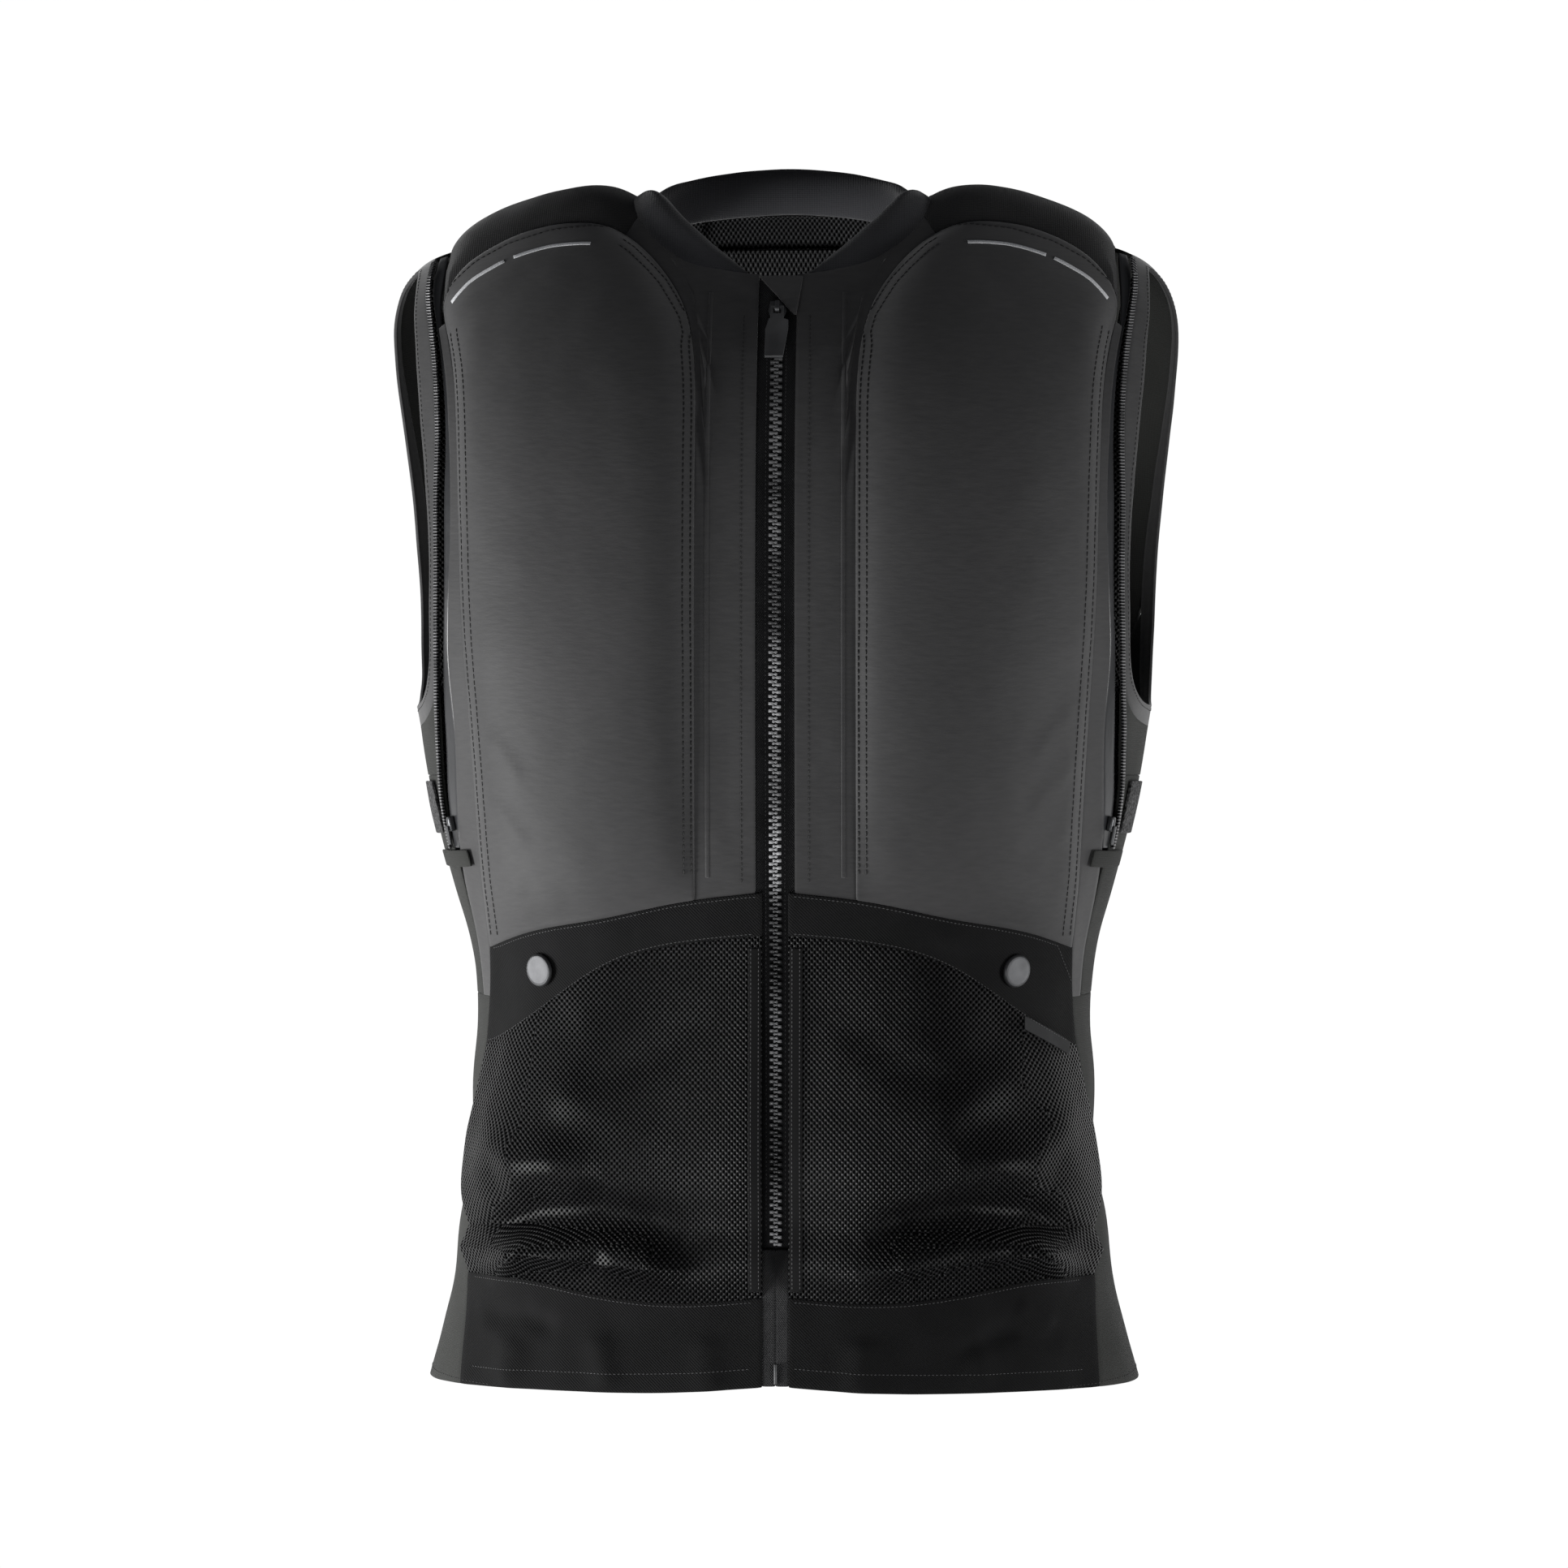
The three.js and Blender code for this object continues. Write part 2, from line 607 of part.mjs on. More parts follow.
// The shoulder chamber, from the yoke seam over the shoulder to the back.
const neckSeamPoint = neckPoint(neckSeamAngle);
const backCorner = onBack(backX(backYokeHeight), backYokeHeight);
const yokeFootCorner = onBack(trunkHalfWidth * 0.28, backYokeHeight);
const shoulderOut = trunkHalfWidth * 0.832;
const shoulderEnd = through([
  shoulderCorner,
  onTop(shoulderOut * 0.995, -45),
  onTop(shoulderOut, -22),
  onTop(shoulderOut, 0),
  onTop(shoulderOut * 0.995, 25),
  onTop(shoulderOut * 0.975, 48),
  backCorner,
]);
const yokeSideCurve = straight(neckPoint(yokeSeamAngle), yokeFootCorner);
const shoulderChamber = () =>
  panel({
    south: yokeCurve,
    north: through([0, 0.25, 0.5, 0.75, 1].map((t) => onBack(mix(yokeFootCorner.x, backCorner.x, t), backYokeHeight))),
    west: joined([
      { curve: straight(seamCorner, neckSeamPoint), steps: 1 },
      { curve: neckArc(neckSeamAngle, yokeSeamAngle), steps: 5 },
      { curve: yokeSideCurve, steps: 2 },
    ]),
    east: shoulderEnd,
    across: padColumns, along: 8, ease: [0.5, 0], over: shoulderHeight, under: flat(-padUnder),
  });

// The placket and its neck facing, in one piece from the pocket band to the shoulder seam.
const frontTurn = THREE.MathUtils.radToDeg(Math.atan2(frontGap / 2, neckFront));
const placket = () => {
  const foot = (t) => {
    const x = mix(frontGap / 2, princessCurve(0).x, t);
    return onFront(x, bandTopHeight(x) + layerGap);
  };
  const [low, high] = [foot(0).z, neckPoint(frontTurn)];
  return panel({
    south: foot,
    north: joined([
      { curve: neckArc(frontTurn, neckSeamAngle), steps: 4 },
      { curve: straight(neckSeamPoint, seamCorner), steps: 1 },
    ]),
    west: (t) => onFront(mix(frontGap / 2, high.x, t), mix(low, high.z, t)),
    east: princessCurve,
    across: 5, along: princessRows, ease: [0, 0.5], over: flat(clothWall), under: flat(0),
  });
};

// The pocket band, mesh pocket and hem band.
const bandTopCurve = crossSeam(bandTopHeight, lowerGap / 2);
const bandBottomCurve = crossSeam(bandBottomHeight, lowerGap / 2);
const hemTopCurve = crossSeam(hemTopHeight, lowerGap / 2);
const hemEdgeCurve = crossSeam(hemEdgeHeight, lowerGap / 2);
const centreEdge = (from, to) => (t) => onFront(lowerGap / 2, mix(from, to, t));
const sideEdge = (from, to) => upFront(sideX, from, to);
function frontPanel(south, north, along, over) {
  return panel({
    south, north,
    west: centreEdge(south(0).z, north(0).z), east: sideEdge(south(1).z, north(1).z),
    across: 9, along, over, under: flat(0),
  });
}
const pocketBand = () => frontPanel(bandBottomCurve, bandTopCurve, 2, flat(twillWall));
const meshPocket = () => frontPanel(hemTopCurve, bandBottomCurve, 10, pocketHeight);
const hemBand = () => frontPanel(hemEdgeCurve, hemTopCurve, 2, flat(twillWall));

// The side of the vest: a narrow front strip, the side zip's film strip and coil, and the stretch panels.
const seamDepth = depthAt("seam");
const edgeDepth = depthAt("edge");
const rearDepth = depthAt("rear");
const lowZip = [waistHeight, 0.36, 0.39, 0.42, 0.44, 0.453, 0.485, 0.513, 0.55];
const zipHeights = lowZip.map((up) => (up > 1 ? up : up * shoulderTop));
const highSeam = filmSeam.map(seamPoint);
const zipTurns = [234, 218, 202, 186, slitFullTurn, 154, 138, 122, slitTopTurn];
const slitAt = (turn) => {
  const opened = clamp((turn - slitTopTurn) / (slitFullTurn - slitTopTurn));
  return mix(slitTopWidth, slitWidth, opened);
};
const highEdge = zipTurns.map((turn) => armholePoint(turn, bindingGrow(turn) + slitAt(turn)));
const stripEdge = through([...zipHeights.map((z) => onSide(seamDepth(z), z)), ...highSeam]);
const fromZipFoot = zipHeights.filter((z) => z >= sideZipFoot - 1);
const filmTip = armholePoint(98, bindingGrow(98) + slitTopWidth);
const filmWest = through([
  ...fromZipFoot.map((z) => onSide(seamDepth(z) + 0.5, z)),
  ...highSeam.map((p) => drape(p.clone().add(new THREE.Vector3(0.5, 0, 0)))),
  onTop(shoulderOut * 1.008, -40),
  onTop(shoulderOut * 1.012, -24),
]);
const filmEast = through([...fromZipFoot.map((z) => onSide(edgeDepth(z), z)), ...highEdge, filmTip]);
const zipRear = through([
  ...fromZipFoot.map((z) => onSide(rearDepth(z), z)),
  ...zipTurns.map((turn) => armholePoint(turn, bindingGrow(turn))),
]);
const sideStrip = () => {
  const top = 0.985;
  return strip({
    west: upFront((z) => sideX(z) + layerGap, waistHeight, mix(waistHeight, shoulderCorner.z, top)),
    east: part(stripEdge, 0, top), across: 1, along: 12, over: flat(clothWall), under: flat(0),
  });
};
const zipFilm = () => strip({ west: filmWest, east: filmEast, across: 1, along: 16, over: flat(filmWall), under: flat(0) });
const zipGusset = () =>
  strip({
    west: (t) => drape(filmEast(mix(0.02, 0.93, t)).add(new THREE.Vector3(-1.5, -2.5, 0))),
    east: (t) => drape(zipRear(mix(0.02, 0.97, t)).add(new THREE.Vector3(0.5, 3, 0))),
    across: 1, along: 12, over: flat(-2 * layerGap), under: flat(-2 * layerGap - tapeWall),
  });
const zipCoil = () =>
  strip({
    west: (t) => drape(zipRear(t).lerp(armholeInner(t), 0.3 / 12)),
    east: (t) => drape(zipRear(t).lerp(armholeInner(t), (0.3 + coilWidth) / 12)),
    across: 1, along: 20, inset: 0,
    over: flat(clothWall + layerGap + coilProud), under: flat(clothWall + layerGap),
  });
// A line twelve millimetres inside the zip's rear edge, which the coil is measured towards.
function armholeInner(t) {
  const p = zipRear(t);
  const ahead = zipRear(Math.min(1, t + 0.01)).sub(zipRear(Math.max(0, t - 0.01))).normalize();
  return p.clone().addScaledVector(ahead.cross(outward(p)), -12);
}
const armholeBinding = () => {
  const [outer, inner] = [[], []];
  const count = 36;
  for (let r = 0; r < count; r++) {
    const turn = mix(-90, 270, r / count);
    const [near, far] = [armholePoint(turn), armholePoint(turn, bindingGrow(turn) - seamInset)];
    const [outerRow, innerRow] = [[], []];
    for (const u of [0, 1]) {
      const p = drape(near.clone().lerp(far, u));
      const normal = outward(p);
      outerRow.push(p.clone().addScaledVector(normal, clothWall + (u === 0 ? -0.5 : 0)));
      innerRow.push(p.clone().addScaledVector(normal, 0));
    }
    outer.push(outerRow);
    inner.push(innerRow);
  }
  return wall(outer, inner, true);
};
const [underFront, underRear] = [240, 330];
const backSidePoint = onBack(backX(underarmHeight), underarmHeight);
const underarmDiagonal = straight(armholePoint(underRear, bindingGrow(underRear)), backSidePoint);
const underarmPanel = () => {
  const foot = underarmHeight + layerGap;
  const [start, end] = [onSide(rearDepth(foot), foot), onBack(backX(foot), foot)];
  return panel({
    south: around(start, end),
    north: bindingArc(underFront, underRear),
    west: straight(start, armholePoint(underFront, bindingGrow(underFront))),
    east: straight(end, armholePoint(underRear, bindingGrow(underRear))),
    across: 9, along: 2, over: flat(clothWall), under: flat(0),
  });
};
const backSidePanel = () =>
  panel({
    south: underarmDiagonal,
    west: bindingArc(underRear - 360, 90),
    east: joined([
      { curve: upBack(backX, underarmHeight + layerGap, backYokeHeight), steps: 8 },
      { curve: (t) => drape(shoulderEnd(mix(1, 0.46, t)).add(new THREE.Vector3(0.6, 0, 0))), steps: 4 },
    ]),
    north: straight(
      armholePoint(90, bindingGrow(90)),
      drape(shoulderEnd(0.46).add(new THREE.Vector3(0.6, 0, 0))),
    ),
    across: 2, along: 12, over: flat(clothWall), under: flat(0),
  });
const sidePanel = () => {
  const [foot, top] = [waistHeight + layerGap, underarmHeight - layerGap];
  const west = joined([
    { curve: upSide((z) => seamDepth(z) + 2 * layerGap, foot, sideZipFoot - 8), steps: 4 },
    { curve: upSide(rearDepth, sideZipFoot, top), steps: 3 },
  ]);
  return panel({
    south: around(west(0), onBack(backX(foot), foot)),
    north: around(west(1), onBack(backX(top), top)),
    west, east: upBack(backX, foot, top),
    across: 7, along: 7, over: flat(clothWall), under: flat(0),
  });
};
const sideSkirt = () => {
  const high = waistHeight - layerGap;
  const low = hemEdgeCurve(1).z;
  const front = upFront((z) => sideX(z) + layerGap, low, high);
  const back = upBack(backX, 0, high);
  return panel({
    south: around(front(0), back(0)), north: around(front(1), back(1)), west: front, east: back,
    across: 7, along: 11, under: flat(0),
    over: (u, w) => clothWall + puckerAt(w) * mix(0.1, 1, swell(mix(0.1, 0.9, u))),
  });
};

// Small pieces on the side: a loop patch behind the zip's foot, the tab over it and the zip's own slider.
const loopPatch = () =>
  strip({
    west: upSide(flat(-44), sideZipFoot + 8, underarmHeight - 3),
    east: upSide(flat(-14), sideZipFoot + 8, underarmHeight - 3), across: 2, along: 3,
    over: flat(clothWall + layerGap + patchThick), under: flat(clothWall + layerGap),
  });
const sideTab = () =>
  strip({
    west: upSide(flat(-66), sideZipFoot - 9, sideZipFoot - 1),
    east: upSide(flat(-30), sideZipFoot - 9, sideZipFoot - 1), across: 4, along: 1,
    over: flat(clothWall + layerGap + patchThick), under: flat(clothWall + layerGap),
  });

// The back: yoke, padded chamber, skirt and mesh lining, each in one piece across.
const mirroredX = (curve) => (t) => {
  const p = curve(t);
  return p.setX(-p.x);
};
const acrossBack = (half, z) => (t) => onBack(mix(-half, half, t), z);
const backYoke = () =>
  panel({
    south: acrossBack(yokeFootCorner.x, backYokeHeight),
    north: (t) => neckPoint(mix(360 - yokeSeamAngle, yokeSeamAngle, t)),
    west: (t) => mirroredX(yokeSideCurve)(1 - t), east: (t) => yokeSideCurve(1 - t),
    across: 8, along: 3, over: flat(clothWall), under: flat(0),
  });
const backChamber = () => {
  const [low, high] = [waistHeight + layerGap, backYokeHeight - layerGap];
  const side = upBack(backX, low, high);
  return panel({
    south: acrossBack(side(0).x, low), north: acrossBack(side(1).x, high), west: mirroredX(side), east: side,
    across: 10, along: 10, ease: [0.5, 0.3], over: backHeight, under: flat(-padUnder),
  });
};
const backSkirt = () => {
  const [low, high] = [0, waistHeight - layerGap];
  const side = upBack(backX, low, high);
  return panel({
    south: acrossBack(side(0).x, low), north: acrossBack(side(1).x, high), west: mirroredX(side), east: side,
    across: 8, along: 6, over: flat(clothWall), under: flat(0),
  });
};
const backLining = () => {
  const side = (t) => {
    const z = mix(liningFoot, liningTop, t);
    const half = mix(trunkHalfWidth * 0.5, trunkHalfWidth * 0.24, clamp((z - backYokeHeight + 60) / 90));
    return onBack(half, z);
  };
  return panel({
    south: acrossBack(side(0).x, liningFoot), north: acrossBack(side(1).x, liningTop),
    west: mirroredX(side), east: side, across: 5, along: 8,
    over: flat(-padUnder - liningGap), under: flat(-padUnder - liningGap - liningWall),
  });
};

// The front zip: a tape and half a chain on each side, a stop cover, the slider with its pull, and the garage.
const neckFrontZ = neckPoint(frontTurn).z;
const zipTape = () =>
  strip({
    west: (t) => onFront(0.5, mix(hemEdgeHeight(0) + 1, neckFrontZ - 1, t)),
    east: (t) => onFront(0.5 + zipTapeWidth, mix(hemEdgeHeight(0) + 1, neckFrontZ - 1, t)),
    across: 1, along: 16, inset: 0, over: flat(-2 * layerGap), under: flat(-2 * layerGap - tapeWall),
  });
const stopCover = () =>
  strip({
    west: (t) => onFront(0.2, mix(hemEdgeHeight(0), zipStopHeight - 2, t)),
    east: (t) => onFront(lowerGap / 2 - 0.1, mix(hemEdgeHeight(0), zipStopHeight - 2, t)),
    across: 1, along: 3, inset: 0.1, over: flat(twillWall - 0.4), under: flat(0),
  });
function chainHalf(start) {
  const [spine, root, head] = [chainWidth / 2, chainWidth * 0.27, -chainWidth * 0.2];
  const count = Math.floor((zipTopHeight - start) / toothPitch);
  const points = [];
  const put = (x, z, height) => {
    const p = onFront(x, z);
    points.push(p.clone().addScaledVector(outward(p), height));
    return points.length - 1;
  };
  const teeth = [];
  for (let i = 0; i <= count; i++) {
    const [z, end] = [start + i * toothPitch, start + (i + toothShare) * toothPitch];
    const tooth = { out: put(spine, z, chainProud), root: put(root, z, chainProud), keel: put(mix(spine, root, 0.5), z, -0.1) };
    if (i < count) {
      tooth.head = put(head, z, chainProud);
      tooth.headEnd = put(head, end, chainProud);
      tooth.rootEnd = put(root, end, chainProud);
    }
    teeth.push(tooth);
  }
  const faces = [];
  const face = (a, b, c) => faces.push(a, b, c);
  for (let i = 0; i < count; i++) {
    const [tooth, next] = [teeth[i], teeth[i + 1]];
    face(tooth.out, next.out, tooth.rootEnd);
    face(tooth.out, tooth.rootEnd, tooth.root);
    face(next.out, next.root, tooth.rootEnd);
    face(tooth.root, tooth.rootEnd, tooth.headEnd);
    face(tooth.root, tooth.headEnd, tooth.head);
    face(tooth.out, tooth.keel, next.keel);
    face(tooth.out, next.keel, next.out);
    face(tooth.keel, tooth.root, tooth.head);
    face(tooth.keel, tooth.head, tooth.headEnd);
    face(tooth.keel, tooth.headEnd, tooth.rootEnd);
    face(tooth.keel, tooth.rootEnd, next.keel);
    face(next.keel, tooth.rootEnd, next.root);
  }
  face(teeth[0].out, teeth[0].root, teeth[0].keel);
  face(teeth[count].out, teeth[count].keel, teeth[count].root);
  return solid(points, faces);
}

// Joins overlapping solids into one.
function fused(...geometries) {
  const solids = geometries.map((geometry) => {
    const positions = geometry.getAttribute("position");
    const keys = new Map();
    const vertices = [];
    const triangles = [];
    const index = geometry.index ? geometry.index.array : [...Array(positions.count).keys()];
    for (const i of index) {
      const p = [positions.getX(i), positions.getY(i), positions.getZ(i)];
      const key = p.map((value) => value.toFixed(4)).join(" ");
      if (!keys.has(key)) {
        keys.set(key, vertices.length / 3);
        vertices.push(...p);
      }
      triangles.push(keys.get(key));
    }
    const data = { numProp: 3, vertProperties: new Float32Array(vertices), triVerts: new Uint32Array(triangles) };
    return new kernel.Manifold(new kernel.Mesh(data));
  });
  const mesh = solids.reduce((sum, next) => sum.add(next)).getMesh();
  const points = [];
  for (let i = 0; i < mesh.vertProperties.length; i += mesh.numProp) {
    points.push(new THREE.Vector3().fromArray(mesh.vertProperties, i));
  }
  return solid(points, Array.from(mesh.triVerts));
}

// Sets a flat-made piece on the form: its z is outward, its y up along the form.
function seated(geometry, point, height = 0) {
  const normal = outward(point);
  const across = new THREE.Vector3(-normal.y, normal.x, 0).normalize();
  const up = normal.clone().cross(across);
  const frame = new THREE.Matrix4().makeBasis(across, up, normal);
  frame.setPosition(point.clone().addScaledVector(normal, height));
  return geometry.clone().applyMatrix4(frame);
}
function prism(outline, thick, hole) {
  const shape = new THREE.Shape(outline.map(([x, y]) => new THREE.Vector2(x, y)));
  if (hole) shape.holes.push(new THREE.Path(hole.map(([x, y]) => new THREE.Vector2(x, y))));
  return new THREE.ExtrudeGeometry(shape, { depth: thick, bevelEnabled: false });
}
const frontSeat = onFront(0, sliderHeight);
const plateFoot = chainProud + 0.3;
const plateTop = plateFoot + sliderPlate;
const pivotRise = plateTop + pullClearance + pullThick / 2 + 0.1;
const zipSlider = () => {
  const [w, l] = [sliderWidth / 2, sliderLength / 2];
  const plate = prism([[-w, -l * 0.2], [-w * 0.72, -l], [w * 0.72, -l], [w, -l * 0.2], [w * 0.8, l], [-w * 0.8, l]], sliderPlate);
  plate.translate(0, 0, plateFoot);
  const [b, foot] = [bridgeLength / 2, 1.6];
  const arch = prism(
    [[-b, -0.4], [-b, bridgeRise - 1], [-b + 1, bridgeRise], [b - 1, bridgeRise], [b, bridgeRise - 1], [b, -0.4],
      [b - foot, -0.4], [b - foot, bridgeRise - bridgeWall], [-b + foot, bridgeRise - bridgeWall], [-b + foot, -0.4]],
    bridgeWidth,
  );
  arch.rotateX(Math.PI / 2);
  arch.rotateZ(Math.PI / 2);
  arch.translate(-bridgeWidth / 2, 0, plateTop);
  arch.computeBoundingBox();
  arch.translate(-(arch.boundingBox.min.x + arch.boundingBox.max.x) / 2, 0, 0);
  return seated(fused(plate, arch), frontSeat);
};
const zipPull = () => {
  const [w, l, bar, neck, n] = [pullWidth / 2, pullLength, pullBar / 2, pullNeck, pullNeckWidth / 2];
  const outline = [
    [-n, bar], [n, bar], [n, -neck], [w, -neck - 1], [w, -neck - 6], [w * 0.6, -l],
    [-w, -l], [-w, -neck - 7], [-w * 0.7, -neck], [-n, -neck],
  ];
  const hole = [[-2, -bar], [-2, -4.4], [2, -4.4], [2, -bar]];
  const plate = prism(outline, pullThick, hole);
  plate.translate(0, 0, -pullThick / 2);
  return seated(plate, frontSeat, pivotRise);
};
const zipGarage = () =>
  strip({
    west: (t) => onFront(mix(8.6, -9.3, t), mix(garageFoot, garageTop, t)),
    east: (t) => onFront(mix(9.4, 12.3, t), mix(garageFoot, garageTop, t)),
    across: 2, along: 4, over: flat(garageProud), under: flat(garageProud - 0.9),
  });

// The collar: one padded roll from the zip round the neck and back.
const collarTallAt = smoothColumn(collarSizes, "turn", "tall");
const collarThickAt = smoothColumn(collarSizes, "turn", "thick");
const collarSunkAt = smoothColumn(collarSizes, "turn", "sunk");
const collarRoll = () => {
  const first = collarSizes[0].turn;
  const half = [first, 14, 17, 21, 26, 32, 39, 47, 56, 66, 77, 90, 105, 120, 135, 150, 165];
  const turns = [...half, 180, ...half.slice().reverse().map((turn) => 360 - turn)];
  const sides = 8;
  const points = [];
  for (const turn of turns) {
    const near = turn > 180 ? 360 - turn : turn;
    const [tall, thick] = [(collarTall / 2) * collarTallAt(near), (collarThick / 2) * collarThickAt(near)];
    const seam = neckPoint(turn);
    const inner = neckPoint(turn, -thick - collarSeat);
    const ahead = neckPoint(turn + 1).sub(neckPoint(turn - 1)).setZ(0).normalize();
    const lean = new THREE.Vector3(0, Math.cos(radians(turn)) > 0 ? 0.25 * Math.cos(radians(turn)) : 0, 1);
    const out = ahead.clone().cross(lean).normalize();
    const up = out.clone().cross(ahead).normalize();
    const middle = new THREE.Vector3(inner.x, inner.y, seam.z - collarTall * collarSunkAt(near));
    middle.addScaledVector(up, tall);
    for (let k = 0; k < sides; k++) {
      const a = (2 * Math.PI * k) / sides;
      points.push(middle.clone().addScaledVector(out, thick * Math.cos(a)).addScaledVector(up, tall * Math.sin(a)));
    }
  }
  const faces = [];
  for (let i = 0; i < turns.length - 1; i++) {
    for (let k = 0; k < sides; k++) {
      const [a, b] = [i * sides + k, i * sides + ((k + 1) % sides)];
      faces.push(a, b, b + sides, a, b + sides, a + sides);
    }
  }
  const end = (turns.length - 1) * sides;
  for (let k = 1; k < sides - 1; k++) faces.push(0, k + 1, k, end, end + k, end + k + 1);
  return solid(points, faces);
};

// Snap caps, the pocket's side tab and the reflective stripes.
const capProfile = [[0, 0], [1, 0], [1, 0.45], [0.92, 0.75], [0.8, 0.9], [0.62, 0.9], [0.56, 0.74], [0.3, 0.7], [0, 0.7]];
const snapCap = () => {
  const profile = capProfile.map(([r, h]) => new THREE.Vector2((r * capDiameter) / 2, h * capTall));
  const cap = new THREE.LatheGeometry(profile, 12);
  cap.rotateX(Math.PI / 2);
  return seated(cap, onFront(capOut, capHeight), twillWall + layerGap);
};
// A narrow tab that looks out under the left band's edge.
const tabTall = 7.5;
const tabProud = 5.1;
const tabThick = 0.8;
const pocketTab = () => {
  const foot = (x) => bandBottomHeight(x) - tabTall;
  const [near, far] = [trunkHalfWidth * 0.585, trunkHalfWidth * 0.69];
  const [low, high] = [flat(tabProud), flat(tabProud + tabThick)];
  return strip({
    west: (t) => onFront(near, mix(foot(near), bandBottomHeight(near) - 1, t)),
    east: (t) => onFront(far, mix(foot(far), bandBottomHeight(far) - 1, t)),
    across: 3, along: 2, over: high, under: low,
  });
};
// How far a solid's outer face lies above the form at a point of it.
function faceHeight(geometry) {
  const mesh = new THREE.Mesh(geometry, new THREE.MeshBasicMaterial({ side: THREE.DoubleSide }));
  const caster = new THREE.Raycaster();
  return (p) => {
    const normal = outward(p);
    caster.set(p.clone().addScaledVector(normal, 2 * chestCrown), normal.clone().negate());
    return 2 * chestCrown - caster.intersectObject(mesh)[0].distance;
  };
}
const chestSolid = chestChamber();
const chestFace = faceHeight(chestSolid);
const stripe = (from, to) => {
  const drop = (t, by) => {
    const p = yokeCurve(t);
    return onFront(p.x, p.z - by);
  };
  return strip({
    west: (t) => drop(mix(from, to, t), stripeDrop + stripeWidth / 2),
    east: (t) => drop(mix(from, to, t), stripeDrop - stripeWidth / 2),
    across: 1, along: 8, inset: 0,
    over: (u, w, p) => chestFace(p) + stripeGap + stripeThick,
    under: (u, w, p) => chestFace(p) + stripeGap,
  });
};

// Materials.
const cloth = (color, roughness = 0.85) => new THREE.MeshStandardMaterial({ color, roughness, metalness: 0 });
const softshell = cloth(0x343437, 0.8);
const fineKnit = cloth(0x1a1a1b, 0.85);
const jersey = cloth(0x15161b, 0.9);
const twill = cloth(0x2b2b2c, 0.85);
const blackMesh = cloth(0x111112, 0.7);
const stretch = cloth(0x3a3b3a, 0.9);
const tapeCloth = cloth(0x141415, 0.85);
const filmCoat = cloth(0x2a2b2e, 0.35);
const loopPile = cloth(0x3d3d3e, 0.95);
const reflective = cloth(0xb9bcc0, 0.4);
const plastic = new THREE.MeshStandardMaterial({ color: 0x3a3b3d, roughness: 0.45, metalness: 0 });
const capPaint = new THREE.MeshStandardMaterial({ color: 0x7d7f82, roughness: 0.35, metalness: 0.9 });
const sliderPaint = new THREE.MeshStandardMaterial({ color: 0x6a6c6f, roughness: 0.4, metalness: 0.9 });

const vest = new THREE.Group();
vest.position.z = -restHeight;
function add(name, geometry, material) {
  const mesh = new THREE.Mesh(geometry, material);
  mesh.name = name;
  vest.add(mesh);
}
function mirrored(geometry) {
  const copy = geometry.index ? geometry.clone() : geometry.toNonIndexed();
  copy.scale(-1, 1, 1);
  copy.setIndex(Array.from(copy.index.array).reverse());
  copy.computeVertexNormals();
  return copy;
}
function addPair(name, geometry, material) {
  add(`${name}_left`, geometry, material);
  add(`${name}_right`, mirrored(geometry), material);
}

addPair("chest_chamber", chestSolid, softshell);
addPair("shoulder_chamber", shoulderChamber(), fineKnit);
addPair("placket", placket(), softshell);
addPair("pocket_band", pocketBand(), twill);
addPair("mesh_pocket", meshPocket(), blackMesh);
addPair("hem_band", hemBand(), twill);
addPair("side_strip", sideStrip(), softshell);
addPair("zip_film", zipFilm(), filmCoat);
addPair("zip_gusset", zipGusset(), blackMesh);
addPair("side_coil", zipCoil(), tapeCloth);
addPair("armhole_binding", armholeBinding(), softshell);
addPair("underarm_panel", underarmPanel(), stretch);
addPair("back_side_panel", backSidePanel(), stretch);
addPair("side_panel", sidePanel(), stretch);
addPair("side_skirt", sideSkirt(), stretch);
addPair("loop_patch", loopPatch(), loopPile);
addPair("side_tab", sideTab(), stretch);
add("back_yoke", backYoke(), fineKnit);
add("back_chamber", backChamber(), softshell);
add("back_skirt", backSkirt(), stretch);
add("back_lining", backLining(), blackMesh);
addPair("zip_tape", zipTape(), tapeCloth);
addPair("zip_stop_cover", stopCover(), tapeCloth);
add("zip_chain_left", chainHalf(zipStopHeight), plastic);
add("zip_chain_right", mirrored(chainHalf(zipStopHeight + toothPitch / 2)), plastic);
add("zip_slider", zipSlider(), sliderPaint);
add("zip_pull", zipPull(), plastic);
add("zip_garage", zipGarage(), softshell);
add("collar_roll", collarRoll(), jersey);
addPair("snap_cap", snapCap(), capPaint);
addPair("inner_stripe", stripe(0.13, 0.5), reflective);
addPair("outer_stripe", stripe(0.52, 0.83), reflective);
add("pocket_tab_left", pocketTab(), reflective);

export default vest;
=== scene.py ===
# %% [markdown]
# A motorcycle airbag vest, dressed in Blender over a fixed frame of solids.
# The frame gives every panel its place. Each soft panel is made again here from its own solid: finer, rounded
# at its seams, wrinkled and given its cloth. The hard parts get edges, teeth and paint.

import math

import bmesh
import bpy
import numpy as np
from mathutils import Matrix, Vector, noise
from mathutils.bvhtree import BVHTree
from mathutils.kdtree import KDTree


